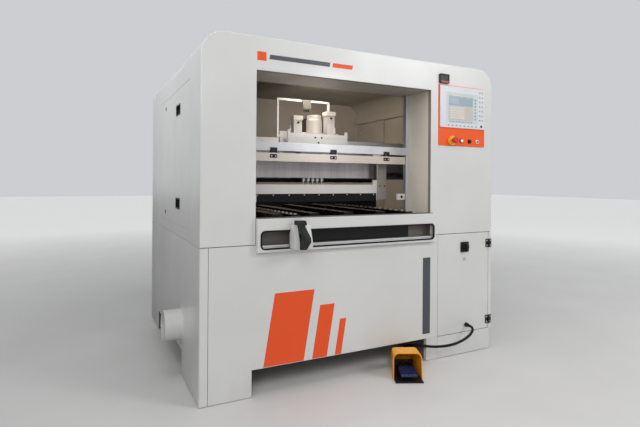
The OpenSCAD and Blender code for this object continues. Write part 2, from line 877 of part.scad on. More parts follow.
module door_hinge_leaves() color(black) place() for (z = [hinge_low, hinge_high]) {
    third = hinge_h / 3;
    z0 = z - hinge_h / 2;
    span([hinge_x - leaf_reach, -leaf_t, z0], [hinge_x - knuckle_r - 1.5, 0, z0 + hinge_h]);
    difference() {
        union() {
            rod_z([hinge_x, hinge_y, z0 + third], knuckle_r, third);
            span([hinge_x - knuckle_r - 2, hinge_y + 2, z0 + third],
                 [hinge_x, -panel_gap - 0.5, z0 + 2 * third]);
        }
        rod_z([hinge_x, hinge_y, z0], pin_r + fit, hinge_h);
    }
}

module door_outline(m = $inset) rect([door_x0 + m, door_z0 + m], [door_x1 - m, lower_z - m]);

module cabinet_door() color(casing_white) place() difference() {
    translate([0, pan_d - sheet_t, 0]) rotate([90, 0, 0]) difference() {
        linear_extrude(pan_d - sheet_t) door_outline(0);
        translate([0, 0, -cut]) linear_extrude(pan_d - 2 * sheet_t + cut) door_outline(sheet_t);
    }
    rod_y([switch_x + 2, -cut, lock_z], lock_r + fit, sheet_t + 2 * cut);
}

switch_t = 8;
switch_pin = 6;

module main_switch_plate() color(black) place() difference() {
    sheet_front(-switch_t, switch_t) round_rect(
        [switch_x - switch_w / 2, switch_z - switch_w / 2],
        [switch_x + switch_w / 2, switch_z + switch_w / 2], 5);
    rod_y([switch_x, -switch_t - cut, switch_z], switch_pin + fit, switch_t + cut - 1);
}

module main_switch_knob() color(black) place() {
    face = -switch_t - running;
    rod_y([switch_x, face - 12, switch_z], 24, 12);
    rod_y([switch_x, face - cut, switch_z], switch_pin, cut + 6);
    span([switch_x - 7, face - 26, switch_z - 23], [switch_x + 7, face - 11, switch_z + 23]);
}

module door_lock() color(steel) place() difference() {
    union() {
        rod_y([switch_x + 2, -2, lock_z], lock_r, 17);
        rod_y([switch_x + 2, -3, lock_z], lock_r + 3, 2.7);
        span([switch_x - 5, 11, lock_z - 30], [switch_x + 9, 15, lock_z + lock_r]);
    }
    translate([switch_x + 2, -3, lock_z]) cube([3, 6, 10], center = true);
}

module cable_gland() color(black) place() {
    rod_y([gland_x, -gland_len, gland_z], gland_r, gland_len);
    translate([gland_x, 0, gland_z]) rotate([90, 0, 0]) cylinder(r = gland_r + 5, h = 6, $fn = 6);
    translate([gland_x, -9, gland_z]) rotate([90, 0, 0]) cylinder(r = gland_r + 3, h = 10, $fn = 6);
}

// Left side

module side_panel() color(casing_white) place() sheet_side(0, sheet_t) difference() {
    rect([side_y, side_z], [side_y + side_w, side_z + side_h]);
    for (z = grip_z)
        rect([grip_y - recess_w / 2, z - recess_h / 2], [grip_y + recess_w / 2, z + recess_h / 2]);
    for (z = quarter_z) translate([quarter_y, z]) circle(quarter_r + fit);
}

module side_fittings() color(black) place() {
    side_grips();
    side_locks();
}

module side_grips() for (z = grip_z) difference() {
    union() {
        sheet_side(-2, 2) round_rect(
            [grip_y - recess_w / 2 - 6, z - recess_h / 2 - 6],
            [grip_y + recess_w / 2 + 6, z + recess_h / 2 + 6], 4);
        span([-cut, grip_y - recess_w / 2, z - recess_h / 2],
             [recess_d, grip_y + recess_w / 2, z + recess_h / 2]);
    }
    span([-3, grip_y - recess_w / 2 + 3, z - recess_h / 2 + 3],
         [recess_d - 3, grip_y + recess_w / 2 - 3, z + recess_h / 2 - 3]);
}

module side_locks() for (z = quarter_z) difference() {
    union() {
        rod_x([-2, quarter_y, z], quarter_r + 3, 2);
        rod_x([-2, quarter_y, z], quarter_r, 16);
    }
    translate([-2, quarter_y, z]) cube([4, 3, 12], center = true);
}

module dust_port() color(casing_white) place() {
    flange_r = port_r + 20;
    difference() {
        union() {
            rod_x([-port_len, port_y, port_z], port_r, port_len + 10);
            rod_x([-sheet_t, port_y, port_z], flange_r, sheet_t);
        }
        rod_x([-port_len - cut, port_y, port_z], port_r - port_t, port_len + 10 + 2 * cut);
    }
}

// Table

bed_gap = 16;
bed_clear = 7;
bar_h = 62;
bed_x0 = open_x + bed_gap;
bed_x1 = open_x1 - bed_gap;
bed_w = bed_x1 - bed_x0;
bed_y0 = recess_back + bed_clear;
bed_over = 200;
bed_y1 = cross_y + bed_over;
bed_z1 = table_z - bar_h;
bed_t = 6;
bed_leg_in = 20;

module table_bed() color(steel) place() {
    span([bed_x0, bed_y0, bed_z1 - bed_t], [bed_x1, bed_y1, bed_z1]);
    for (x = [bed_x0 + bed_leg_in, bed_x1 - bed_leg_in - tube], y = [foot_f, cross_y])
        span([x, y, ring_z], [x + tube, y + tube, bed_z1 - bed_t + cut / 2]);
}

// Four plain bars, and two lower ones that carry rows of studs
module support_bars() color(black) place() {
    bar_w = 60;
    stud_bar_w = 50;
    stud_r = 8;
    stud_h = 6;
    stud_step = 60;
    bar_end = 10;
    studs = floor((bed_y1 - bed_y0 - stud_step) / stud_step);
    for (i = [0 : 3]) let(x = bed_x0 + bed_w * (0.082 + 0.2 * i))
        span([x, bed_y0 + bar_end, bed_z1], [x + bar_w, bed_y1 - bar_end, table_z]);
    for (share = [0.186, 0.877]) let(x = bed_x0 + bed_w * share) {
        span([x, bed_y0 + bar_end, bed_z1], [x + stud_bar_w, bed_y1 - bar_end, table_z - stud_h]);
        for (i = [0 : studs - 1]) let(y = bed_y0 + stud_step / 2 + i * stud_step)
            rod_z([x + stud_bar_w / 2, y, table_z - stud_h - cut], stud_r, stud_h + cut);
    }
}

// Bridge, carriage and boring head

// Two columns, a beam of plates open below, and the rails on its front
module bridge() color(frame_grey) place() {
    x0 = columns_x[0] + column_t + weld;
    x1 = columns_x[1] - weld;
    y1 = bridge_y + bridge_d;
    top = bridge_z + bridge_h;
    beam_rails();
    for (x = columns_x) span([x, column_y, ring_z], [x + column_t, column_y + column_d, top]);
    for (x = [x0, x1 - beam_end]) span([x, bridge_y, bridge_z], [x + beam_end, y1, top]);
    in0 = x0 + beam_end + weld;
    in1 = x1 - beam_end - weld;
    for (y = [bridge_y, y1 - beam_t])
        span([in0, y, bridge_z], [in1, y + beam_t, top - beam_t - weld]);
    span([in0, bridge_y, top - beam_t], [in1, y1, top]);
}

beam_end = 40;
rail_end = 30;
rail_w = 23;
rail_t = 18;

module beam_rails() for (z = rail_zs)
    span([columns_x[0] + column_t + rail_end, bridge_y - rail_t, z - rail_w / 2],
         [columns_x[1] - rail_end, bridge_y - weld, z + rail_w / 2]);

axis_h = 54;
axis_z1 = bridge_z + bridge_h + axis_h;
axis_back = 50;
axis_d = 70;

// Closed belt axis on the beam, with its upright servo motor
module x_drive() color(aluminium) place() {
    axis_end = 200;
    motor_end = 340;
    block = 60;
    block_over = 20;
    servo_r = 45;
    servo_share = 0.32;
    cap_r = 38;
    cap_h = 30;
    servo_h = servo_share * (case_h - axis_z1);
    y0 = bridge_y + axis_back;
    x = columns_x[0] + motor_end;
    top = bridge_z + bridge_h;
    span([columns_x[0] + axis_end, y0, top], [columns_x[1] - axis_end, y0 + axis_d, axis_z1]);
    span([x - block, y0 - block_over, top], [x + block, y0 + axis_d + block_over, axis_z1 + block_over]);
    rod_z([x, y0 + axis_d / 2, axis_z1 + block_over - cut], servo_r, servo_h);
    rod_z([x, y0 + axis_d / 2, axis_z1 + block_over + servo_h - 2 * cut], cap_r, cap_h);
}

module chip_hood() color(steel) place() {
    t = 2;
    clear = 7;
    over = 33;
    short = 165;
    skirt = 97;
    y0 = presser_y + presser_d + clear;
    x0 = open_x - over;
    x1 = open_x1 - short;
    z0 = bridge_z + clear;
    z1 = z0 + skirt;
    span([x0, y0, z0], [x1, y0 + t, z1]);
    for (x = [x0, x1 - t]) difference() {
        span([x, y0, z0], [x + t, bridge_y, z1]);
        span([x - cut, bridge_y - rail_t - clear, rail_zs[0] - rail_w / 2 - clear],
             [x + t + cut, bridge_y + cut, rail_zs[0] + rail_w / 2 + clear]);
    }
}

// Fixed guide blocks behind the guard beam and the clamping bar they carry
module presser_lifts() color(aluminium) place() for (x = presser_x) difference() {
    span([x, guard_y1, lift_z], [x + lift_w, presser_y + presser_d, lift_z1]);
    rod_z([x + lift_w / 2, presser_y + presser_d / 2, lift_z - cut],
          lift_rod_r + fit, lift_z1 - lift_z + 2 * cut);
}

module presser_bar() color([0.74, 0.73, 0.71]) place() {
    x1 = presser_x[1] + lift_w;
    top = presser_z + presser_h;
    block_up = 30;
    block_low = presser_z - pad_t + 2 * sheet_t;
    span([presser_x[0], presser_y, presser_z], [x1, presser_y + presser_d, top]);
    for (x = presser_x) {
        span([x, presser_y, block_low], [x + lift_w, presser_y + presser_d, top + block_up]);
        rod_z([x + lift_w / 2, presser_y + presser_d / 2, top], lift_rod_r, lift_z1 - top);
    }
}

module presser_pad() color(black) place() span(
    [presser_x[0] + lift_w, presser_y, presser_z - pad_t],
    [presser_x[1], presser_y + presser_d, presser_z]);

block_w = 60;
block_l = 80;
shelf_y = spindle_y - 74;
apron_t = 8;
back_z = bridge_z + 20;
lug = 18;
lug_h = 20;

// Back plate on its rail blocks, shelf with the apron in front, belt clamp, frame and cylinders
module head_carriage() color(aluminium) place() {
    difference() {
        span([head_x0, carriage_y, back_z], [head_x1, carriage_y + carriage_t, upstand_z]);
        span([head_x - gearbox_x - relief, carriage_y - cut, back_z - cut],
             [head_x + gearbox_x + relief, carriage_y + carriage_t + cut, back_z + 3 * relief]);
    }
    for (x = [head_x0, head_x1 - block_l], z = rail_zs) difference() {
        span([x, carriage_y + carriage_t - cut, z - block_w / 2],
             [x + block_l, bridge_y - panel_gap, z + block_w / 2]);
        span([x - cut, bridge_y - rail_t - running, z - rail_w / 2 - running],
             [x + block_l + cut, bridge_y, z + rail_w / 2 + running]);
    }
    belt_clamp();
    difference() {
        span([head_x0, shelf_y - cut, shelf_z], [head_x1, carriage_y + cut, shelf_z + shelf_t]);
        rod_z([head_x, motor_y, shelf_z - cut], motor_r + sheet_t, shelf_t + 2 * cut);
        for (s = [-1, 1])
            rod_z([head_x + s * guide_x, spindle_y, shelf_z - cut], guide_r + fit, shelf_t + 2 * cut);
    }
    span([head_x0, shelf_y - apron_t, shelf_z], [head_x1, shelf_y, upstand_z - lug_h]);
    for (x = [head_x0, head_x1 - lug])
        span([x, shelf_y - apron_t, shelf_z], [x + lug, shelf_y, upstand_z]);
    carriage_frame();
    for (s = [-1, 1]) feed_cylinder(head_x + s * cylinder_x, shelf_z + cylinder_h + s * cylinder_step);
}

relief = 10;
clamp_w = 60;
clamp_t = 14;
strut = 12;
frame_over = 20;
frame_short = 78;
frame_share = 0.48;
cylinder_x = 115;
cylinder_share = 0.37;
cylinder_step = 20;
cylinder_w = 54;
cylinder_cap = 64;
cap_t = 25;
cylinder_h = cylinder_share * (case_h - shelf_z);

module belt_clamp() span(
    [head_x - clamp_w, carriage_y + carriage_t - cut, axis_z1 + running],
    [head_x + clamp_w, bridge_y + axis_back + axis_d, axis_z1 + clamp_t]);

// Thin square frame over the carriage that carries its hoses
module carriage_frame() {
    y0 = carriage_y + carriage_t / 2 - strut / 2;
    x0 = head_x0 - frame_over;
    x1 = head_x1 - frame_short;
    z0 = upstand_z - 2 * lug_h;
    z1 = upstand_z + frame_share * (case_h - upstand_z);
    for (x = [x0, x1]) span([x, y0, z0], [x + strut, y0 + strut, z1]);
    span([x0, y0, z0], [head_x0 + cut, y0 + strut, upstand_z - lug_h]);
    span([x0, y0, z1 - strut], [x1 + strut, y0 + strut, z1]);
}

module feed_cylinder(x, top) {
    w = cylinder_w / 2;
    c = cylinder_cap / 2;
    span([x - w, spindle_y - w, shelf_z + shelf_t - cut], [x + w, spindle_y + w, top]);
    span([x - c, spindle_y - c, top - cut], [x + c, spindle_y + c, top + cap_t]);
}

gearbox_front = 40;
gearbox_rear = 38;
gearbox_wall = 12;
gearbox_room = 26;
gearbox_top = 14;
bearing_d = 9;
guide_over = 20;
guide_len = 150;

// Housing of the spindle gears with its lifting plate and guide rods
module boring_head() color(steel) place() {
    y0 = spindle_y - gearbox_front;
    y1 = spindle_y + gearbox_rear;
    difference() {
        span([head_x - gearbox_x, y0, gearbox_z0 + cover_t], [head_x + gearbox_x, y1, gearbox_z1]);
        span([head_x - gearbox_x + gearbox_wall, spindle_y - gearbox_room, gearbox_z0 + cover_t - cut],
             [head_x + gearbox_x - gearbox_wall, spindle_y + gearbox_room, gearbox_z1 - gearbox_top]);
        for (i = [-2 : 2])
            rod_z([head_x + i * pitch, spindle_y, gearbox_z1 - gearbox_top - cut],
                  shaft_r + fit, bearing_d + cut);
    }
    span([head_x - guide_x - guide_over, y0, gearbox_z1 - cut / 2],
         [head_x + guide_x + guide_over, y1, gearbox_z1 + head_plate_t]);
    for (s = [-1, 1])
        rod_z([head_x + s * guide_x, spindle_y, gearbox_z1 + head_plate_t - cut], guide_r, guide_len);
}

module gearbox_cover() color(steel) place() difference() {
    span([head_x - gearbox_x, spindle_y - gearbox_front, gearbox_z0],
         [head_x + gearbox_x, spindle_y + gearbox_rear, gearbox_z0 + cover_t]);
    for (i = [-2 : 2])
        rod_z([head_x + i * pitch, spindle_y, gearbox_z0 - cut], shaft_r + fit, cover_t + 2 * cut);
}

// Involute gear in plan: flank angles in degrees at radii from the base circle to the tip
tip_r = gear_r + 0.9 * gear_m;
root_r = gear_r - 1.25 * gear_m;
pressure = 20;
backlash = 0.3;
base_r = gear_r * cos(pressure);
base_half = 90 / teeth + involute(pressure) - backlash;

function involute(a) = tan(a) * 180 / PI - a;
function flank(r) = base_half - involute(acos(base_r / r));
function polar(r, a) = [r * cos(a), r * sin(a)];
function tooth(a) = let(
    steps = 4,
    rs = [for (i = [0 : steps]) base_r + (tip_r - base_r) * i / steps]) concat(
    [polar(root_r, a - base_half)],
    [for (r = rs) polar(r, a - flank(r))],
    [for (i = [steps : -1 : 0]) polar(rs[i], a + flank(rs[i]))],
    [polar(root_r, a + base_half)]);

module gear(turn) rotate(turn) polygon([for (k = [0 : teeth - 1]) each tooth(360 * k / teeth)]);

shaft_len = 60;
chuck_len = 60;
chuck_lap = 15;

// One spindle of the row: shaft with its gear, chuck and drill
module spindle(i) color(steel) place() translate([head_x + (i - 3) * pitch, spindle_y, 0]) {
    half_tooth = 180 / teeth;
    shaft_z = gearbox_z0 - shaft_len;
    chuck_z = shaft_z - chuck_len + chuck_lap;
    shaft_top = gearbox_z1 - gearbox_top + bearing_d - running;
    rod_z([0, 0, shaft_z], shaft_r, shaft_top - shaft_z);
    translate([0, 0, gear_z]) linear_extrude(gear_w) gear(i % 2 == 0 ? half_tooth : 0);
    rod_z([0, 0, chuck_z], chuck_r, chuck_len);
    rod_z([0, 0, drill_tip], drill_r, chuck_z + cut - drill_tip);
}

module spindle_motor() color([0.76, 0.7, 0.62]) place() {
    neck_r = motor_r / 2;
    neck_h = 60;
    body_h = 130;
    cap_h = 30;
    z0 = gearbox_z1 + head_plate_t;
    rod_z([head_x, motor_y, z0], neck_r, neck_h);
    rod_z([head_x, motor_y, z0 + neck_h - cut], motor_r, body_h);
    rod_z([head_x, motor_y, z0 + neck_h + body_h - 2 * cut], motor_r - 2 * sheet_t, cap_h);
}

// Pedal, in its own frame: X across, -Y towards the operator

module pedal_place() place() translate([pedal_x, pedal_y, 0]) rotate([0, 0, pedal_turn]) children();

module guard_arch(m) {
    w = guard_w / 2 - m;
    h = guard_h - m;
    r = 34 - m;
    rect([-w, 0], [w, h - r]);
    rect([-w + r, 0], [w - r, h]);
    for (s = [-1, 1]) translate([s * (w - r), h - r]) circle(r);
}

module guard_side(m) polygon([
    [-guard_front - (m > 0 ? 2 * cut : 0), -cut * (m > 0 ? 1 : 0)],
    [-guard_front + 8 - (m > 0 ? 2 * cut : 0), guard_h - m],
    [guard_roof - m / 2, guard_h - m],
    [guard_rear - m, 62],
    [guard_rear - m, -cut * (m > 0 ? 1 : 0)]]);

// Half width of the guard, which draws in from its front to its rear
function guard_half(y) = guard_w / 2 - guard_draw * (y + guard_front) / (guard_front + guard_rear);

module guard_plan(m, y0, y1) polygon([
    [-guard_half(y0) + m, y0], [guard_half(y0) - m, y0],
    [guard_half(y1) - m, y1], [-guard_half(y1) + m, y1]]);

module guard_form(m) intersection() {
    over = 20;
    z = m > 0 ? -cut : 0;
    translate([0, 0, z]) linear_extrude(guard_h) guard_plan(m, -guard_front - over, guard_rear + over);
    translate([0, 0, z]) sheet_front(-guard_front - over, guard_front + guard_rear + 2 * over) guard_arch(m);
    sheet_side(-guard_w / 2, guard_w) guard_side(m);
}

module pedal_guard() color(yellow) pedal_place() difference() {
    guard_form(0);
    guard_form(guard_t);
}

ear_t = 9;
ear_d = 28;
ear_x = guard_half(treadle_y + ear_d / 2) - guard_t - ear_t - 5;
base_t = 8;

// Base plate with the ears of the treadle's hinge and the cable's strain relief
module pedal_base() color(black) pedal_place() {
    w = guard_half(-guard_front) - guard_t;
    linear_extrude(base_t) union() {
        rect([-w, -pedal_front], [w, -guard_front + cut / 2]);
        guard_plan(guard_t, -guard_front, guard_rear - guard_t);
    }
    for (s = [-1, 1]) difference() {
        translate([s * (ear_x + ear_t / 2) - ear_t / 2, treadle_y - ear_d / 2, base_t - cut])
            cube([ear_t, ear_d, treadle_z + 14 - base_t + cut]);
        rod_x([-w, treadle_y, treadle_z], treadle_pin + fit, 2 * w);
    }
    rod_y([0, guard_rear, relief_z], gland_r + 2, relief_len + 10);
}

// Treadle plate with its drooping front lip, on a pin through the ears
module pedal_treadle() color([0.06, 0.12, 0.25]) pedal_place() {
    half = ear_x - 1.5;
    lip = pedal_front - 8;
    sheet_side(-half, 2 * half) polygon([
        [treadle_y + 10, treadle_z - 6], [treadle_y + 10, treadle_z + 12], [treadle_y - 40, treadle_z + 14],
        [-60, treadle_z + 2], [-lip + 8, treadle_z - 2], [-lip, treadle_z - 10], [-lip + 2, treadle_z - 16],
        [-lip + 10, treadle_z - 15], [-60, treadle_z - 8], [treadle_y - 40, treadle_z + 2]]);
    rod_x([-ear_x - ear_t, treadle_y, treadle_z], treadle_pin, 2 * (ear_x + ear_t));
}

// Pedal cable: rings of points carried along the route

cable_path = concat(cable_route, [cable_end + pedal_dir * 14 + [0, 0, 1], cable_end]);
cable_n = len(cable_path);

function unit(v) = v / norm(v);
function cable_dir(i) = i == 0 ? [0, -1, 0]
    : i == cable_n - 1 ? -pedal_dir
    : unit(cable_path[i + 1] - cable_path[i - 1]);
function cable_ring(i) = let(t = cable_dir(i), side = unit(cross(t, [0, 0, 1])), up = cross(side, t))
    [for (k = [0 : cable_sides - 1]) let(a = 360 * k / cable_sides)
        cable_path[i] + cable_r * (cos(a) * side + sin(a) * up)];

module pedal_cable() color(black) place() polyhedron(
    points = [for (i = [0 : cable_n - 1]) each cable_ring(i)],
    faces = concat(
        [[for (k = [0 : cable_sides - 1]) k]],
        [for (i = [0 : cable_n - 2], k = [0 : cable_sides - 1])
            let(a = i * cable_sides, n = (k + 1) % cable_sides)
            [a + k, a + cable_sides + k, a + cable_sides + n, a + n]],
        [[for (k = [cable_sides - 1 : -1 : 0]) (cable_n - 1) * cable_sides + k]]));

base_frame();
leg_boxes();
lower_front_panel();
lower_left_panel();
lower_right_panel();
rear_panels();
hood_shell();
hood_front();
opening_liner();
guard_frame();
guard_window();
flap_hinge_brackets();
safety_flap();
front_tray();
slot_trim();
carriage_rail();
handle_carriage();
handle_grip();
thumb_button();
control_plate();
display();
control_bezels();
estop_button();
start_button();
stop_button();
key_switch();
service_port();
electrical_cabinet();
electrical_panel();
frame_hinge_leaves();
cabinet_door();
door_hinge_leaves();
main_switch_plate();
main_switch_knob();
door_lock();
cable_gland();
side_panel();
side_fittings();
dust_port();
table_bed();
support_bars();
bridge();
x_drive();
chip_hood();
presser_lifts();
presser_bar();
presser_pad();
head_carriage();
boring_head();
gearbox_cover();
spindle_motor();
spindle(1);  // spindle_1
spindle(2);  // spindle_2
spindle(3);  // spindle_3
spindle(4);  // spindle_4
spindle(5);  // spindle_5
pedal_base();
pedal_guard();
pedal_treadle();
pedal_cable();
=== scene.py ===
import json

import bmesh
import bpy
import numpy as np
from mathutils import Matrix


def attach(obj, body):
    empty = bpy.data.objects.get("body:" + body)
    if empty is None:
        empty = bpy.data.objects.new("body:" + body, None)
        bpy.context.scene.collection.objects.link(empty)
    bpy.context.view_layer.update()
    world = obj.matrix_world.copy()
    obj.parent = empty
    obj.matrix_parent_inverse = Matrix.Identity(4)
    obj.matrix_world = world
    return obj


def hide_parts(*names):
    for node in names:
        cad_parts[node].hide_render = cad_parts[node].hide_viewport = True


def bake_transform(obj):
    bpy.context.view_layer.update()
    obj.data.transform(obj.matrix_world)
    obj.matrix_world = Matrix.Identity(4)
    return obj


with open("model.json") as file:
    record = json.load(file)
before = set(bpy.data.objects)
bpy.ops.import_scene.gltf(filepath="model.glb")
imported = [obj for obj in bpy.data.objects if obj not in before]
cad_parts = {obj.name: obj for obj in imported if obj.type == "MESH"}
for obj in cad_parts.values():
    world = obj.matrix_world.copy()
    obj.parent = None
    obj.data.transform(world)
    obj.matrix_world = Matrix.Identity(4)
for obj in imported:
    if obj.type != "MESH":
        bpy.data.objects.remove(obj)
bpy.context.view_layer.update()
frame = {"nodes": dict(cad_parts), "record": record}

# Welded frame and feet: square steel tube on folded foot boxes, sprayed dark grey before the
# casing is hung on them. They show under the arches and on the inner side of the right foot.
record = frame["record"]
body_of = {n: b for b, nodes in record["behaviour"]["bodies"].items() for n in nodes}
CORNER = np.array([-0.9175, -0.746245, 0.0])


def at(x, y, z):
    """Millimetres from the casing's front left corner on the floor, as points of the row frame."""
    return np.stack(np.broadcast_arrays(x, y, z), -1) / 1000 + CORNER


def rgb(r, g, b):
    """An sRGB colour of 0 to 255 as the linear colour a shader socket takes."""
    c = np.array([r, g, b]) / 255
    linear = np.where(c <= 0.04045, c / 12.92, ((c + 0.055) / 1.055) ** 2.4)
    return (*linear.tolist(), 1.0)


def add(tree, kind, inputs=None, **settings):
    """A shader node with its settings, each input either written on its socket or linked to it."""
    node = tree.nodes.new(kind)
    for name, value in settings.items():
        setattr(node, name, value)
    for key, value in (inputs or {}).items():
        if isinstance(value, bpy.types.NodeSocket):
            tree.links.new(value, node.inputs[key])
        else:
            node.inputs[key].default_value = value
    return node


def noise(tree, scale, detail=2.0):
    """Noise on Object coordinates."""
    place = add(tree, "ShaderNodeTexCoord").outputs["Object"]
    inputs = {"Vector": place, "Scale": scale, "Detail": detail}
    return add(tree, "ShaderNodeTexNoise", inputs).outputs["Fac"]


def ramp(tree, value, low, high, to_low=0.0, to_high=1.0):
    """A value between low and high, spread over to_low to to_high and held there."""
    inputs = {0: value, 1: low, 2: high, 3: to_low, 4: to_high}
    return add(tree, "ShaderNodeMapRange", inputs).outputs[0]


def times(tree, a, b):
    """The product of two values."""
    return add(tree, "ShaderNodeMath", {0: a, 1: b}, operation="MULTIPLY").outputs[0]


def mix(tree, factor, a, b):
    """Colour a where the factor is 0 and colour b where it is 1."""
    return add(tree, "ShaderNodeMix", {0: factor, 6: a, 7: b}, data_type="RGBA").outputs[2]


def shader_group(name, inputs, outputs):
    """An empty node group with its sockets, its input node and its output node."""
    tree = bpy.data.node_groups.new(name, "ShaderNodeTree")
    for label, kind, value in inputs:
        socket = tree.interface.new_socket(label, in_out="INPUT", socket_type=kind)
        socket.default_value = value
    for label, kind in outputs:
        tree.interface.new_socket(label, in_out="OUTPUT", socket_type=kind)
    return tree, tree.nodes.new("NodeGroupInput"), tree.nodes.new("NodeGroupOutput")


SURFACE = [("Color", "NodeSocketColor"), ("Roughness", "NodeSocketFloat"), ("Height", "NodeSocketFloat")]
DUST_TOP = 0.22
PEEL = 0.0002


def powder_coat():
    """Baked powder paint: a fine orange peel, slow clouds of tone, and dust that rises from the floor."""
    tree, given, out = shader_group(
        "powder_coat",
        [("Paint", "NodeSocketColor", (0.8, 0.8, 0.8, 1)),
         ("Shade", "NodeSocketColor", (0.7, 0.7, 0.7, 1)),
         ("Gloss", "NodeSocketFloat", 0.4), ("Dust", "NodeSocketFloat", 0.2)],
        SURFACE)
    clouds = ramp(tree, noise(tree, 1.9, 4.0), 0.36, 0.66)
    toned = mix(tree, clouds, given.outputs["Paint"], given.outputs["Shade"])
    place = add(tree, "ShaderNodeTexCoord").outputs["Object"]
    height = add(tree, "ShaderNodeSeparateXYZ", {0: place}).outputs[2]
    low = ramp(tree, height, 0.0, DUST_TOP, 1.0, 0.0)
    specks = ramp(tree, noise(tree, 11.0, 6.0), 0.35, 0.7)
    film = times(tree, times(tree, low, specks), given.outputs["Dust"])
    tree.links.new(mix(tree, film, toned, rgb(150, 143, 133)), out.inputs["Color"])
    smear = ramp(tree, noise(tree, 7.0, 5.0), 0.3, 0.7, -0.05, 0.07)
    rough = add(tree, "ShaderNodeMath", {0: given.outputs["Gloss"], 1: smear}, operation="ADD").outputs[0]
    tree.links.new(rough, out.inputs["Roughness"])
    tree.links.new(noise(tree, 430.0, 1.0), out.inputs["Height"])
    return tree


POWDER_COAT = powder_coat()


def finish_from(name, group, inputs, depth, **shader):
    """A material whose colour, roughness and bump come from a group, with the rest on the shader."""
    material = bpy.data.materials.new(name)
    material.use_nodes = True
    tree = material.node_tree
    principled = tree.nodes["Principled BSDF"]
    effect = add(tree, "ShaderNodeGroup", node_tree=group)
    for label, value in inputs.items():
        effect.inputs[label].default_value = value
    tree.links.new(effect.outputs["Color"], principled.inputs["Base Color"])
    tree.links.new(effect.outputs["Roughness"], principled.inputs["Roughness"])
    bump = add(tree, "ShaderNodeBump", {"Height": effect.outputs["Height"], "Distance": depth})
    tree.links.new(bump.outputs[0], principled.inputs["Normal"])
    for label, value in shader.items():
        principled.inputs[label.replace("_", " ")].default_value = value
    return material


def paint(name, color, shade, gloss=0.38, dust=0.25, coat=0.12, sheen=0.5):
    """Powder paint of that colour, clouded towards the shade. coat is the weight of its clear top
    layer and sheen the level of its own reflection."""
    inputs = {"Paint": rgb(*color), "Shade": rgb(*shade), "Gloss": gloss, "Dust": dust}
    return finish_from(name, POWDER_COAT, inputs, PEEL, Coat_Weight=coat, Coat_Roughness=0.22,
                       Specular_IOR_Level=sheen)


def put(name, mesh, body):
    """A finished mesh as a piece that rides on a body."""
    piece = bpy.data.objects.new(name, mesh)
    bpy.context.scene.collection.objects.link(piece)
    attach(piece, body)
    return piece


SHARP = 0.6


def shade_edges(mesh):
    """Smooth shading that breaks where two faces meet at a sharp angle, in radians."""
    mesh.shade_smooth()
    mesh.set_sharp_from_angle(angle=SHARP)


def bevel_edges(piece, width, method="ANGLE"):
    """A bevel of that many millimetres on the piece's sharp edges, or by their weights."""
    bevel = piece.modifiers.new("edges", "BEVEL")
    bevel.width = width / 1000
    bevel.segments = 2
    bevel.limit_method = method
    bevel.angle_limit = SHARP
    bevel.harden_normals = True


def dressed(node, *finishes, edge=1.2, pick=None, fold=None, weld=0.01):
    """A CAD piece with rounded edges: its triangles merge into flat faces, and a bevel of `edge`
    millimetres follows each sharp edge. pick gives each face's finish from its centre and normal.
    fold gives the share of the bevel that an edge gets from its middle. Points less than `weld`
    millimetres apart become one."""
    source = frame["nodes"][node].data
    points = np.empty(3 * len(source.vertices))
    source.vertices.foreach_get("co", points)
    corners = np.empty(len(source.loops), int)
    source.loops.foreach_get("vertex_index", corners)
    mesh = bpy.data.meshes.new(node)
    mesh.from_pydata(points.reshape(-1, 3).tolist(), [], corners.reshape(-1, 3).tolist())
    merged = bmesh.new()
    merged.from_mesh(mesh)
    bmesh.ops.remove_doubles(merged, verts=merged.verts, dist=weld / 1000)
    bmesh.ops.dissolve_limit(merged, angle_limit=0.01, verts=merged.verts, edges=merged.edges)
    if fold:
        share = merged.edges.layers.float.new("bevel_weight_edge")
        for line in merged.edges:
            middle = (np.array(line.verts[0].co + line.verts[1].co) / 2 - CORNER) * 1000
            line[share] = fold(*middle) if line.calc_face_angle(0) > SHARP else 0.0
    merged.to_mesh(mesh)
    merged.free()
    for finish in finishes:
        mesh.materials.append(finish)
    if pick:
        centre = np.empty(3 * len(mesh.polygons))
        mesh.polygons.foreach_get("center", centre)
        normal = np.empty(3 * len(mesh.polygons))
        mesh.polygons.foreach_get("normal", normal)
        where = (centre.reshape(-1, 3) - CORNER) * 1000
        mesh.polygons.foreach_set("material_index", pick(where, normal.reshape(-1, 3)).astype(np.int32))
    shade_edges(mesh)
    piece = put(node + "_dressed", mesh, body_of[node])
    if edge:
        bevel_edges(piece, edge, "WEIGHT" if fold else "ANGLE")
    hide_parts(node)
    return piece


frame_paint = paint("frame_paint", (86, 88, 92), (74, 76, 81), gloss=0.5, dust=0.6)
dressed("base_frame", frame_paint, edge=4.0)
dressed("leg_boxes", frame_paint, edge=0)

# Lower casing: folded sheet-steel panels in light grey-white powder paint, hooked on the frame
# with a thin dark joint between neighbours. The left panel is folded round the front corner.
casing_paint = paint("casing_paint", (212, 212, 210), (206, 206, 204), gloss=0.34, dust=0.14, coat=0.2)
# The inner coat is a grey-brown coat whose darkness is partly painted shade for the dim inside of the hood.
shaded_inner_coat = paint("shaded_inner_coat", (138, 128, 114), (122, 112, 99), gloss=0.5, dust=0.3)
for panel in ("lower_front_panel", "lower_left_panel", "lower_right_panel"):
    dressed(panel, casing_paint, edge=1.0)


def ring_faces(rings, n):
    """Four-sided faces between neighbouring rings of n points, and one face to close each end."""
    i = np.arange(rings * n).reshape(rings, n)
    j = np.roll(i, -1, axis=1)
    quads = np.stack([i[:-1], j[:-1], j[1:], i[1:]], -1).reshape(-1, 4).tolist()
    return quads + [i[0, ::-1].tolist(), i[-1].tolist()]


def slab(outline, y0, y1):
    """An outline in X and Z, in millimetres, carried from y0 to y1: points and faces."""
    x, z = np.asarray(outline, float).T
    return np.concatenate([at(x, y0, z), at(x, y1, z)]), ring_faces(2, len(x))


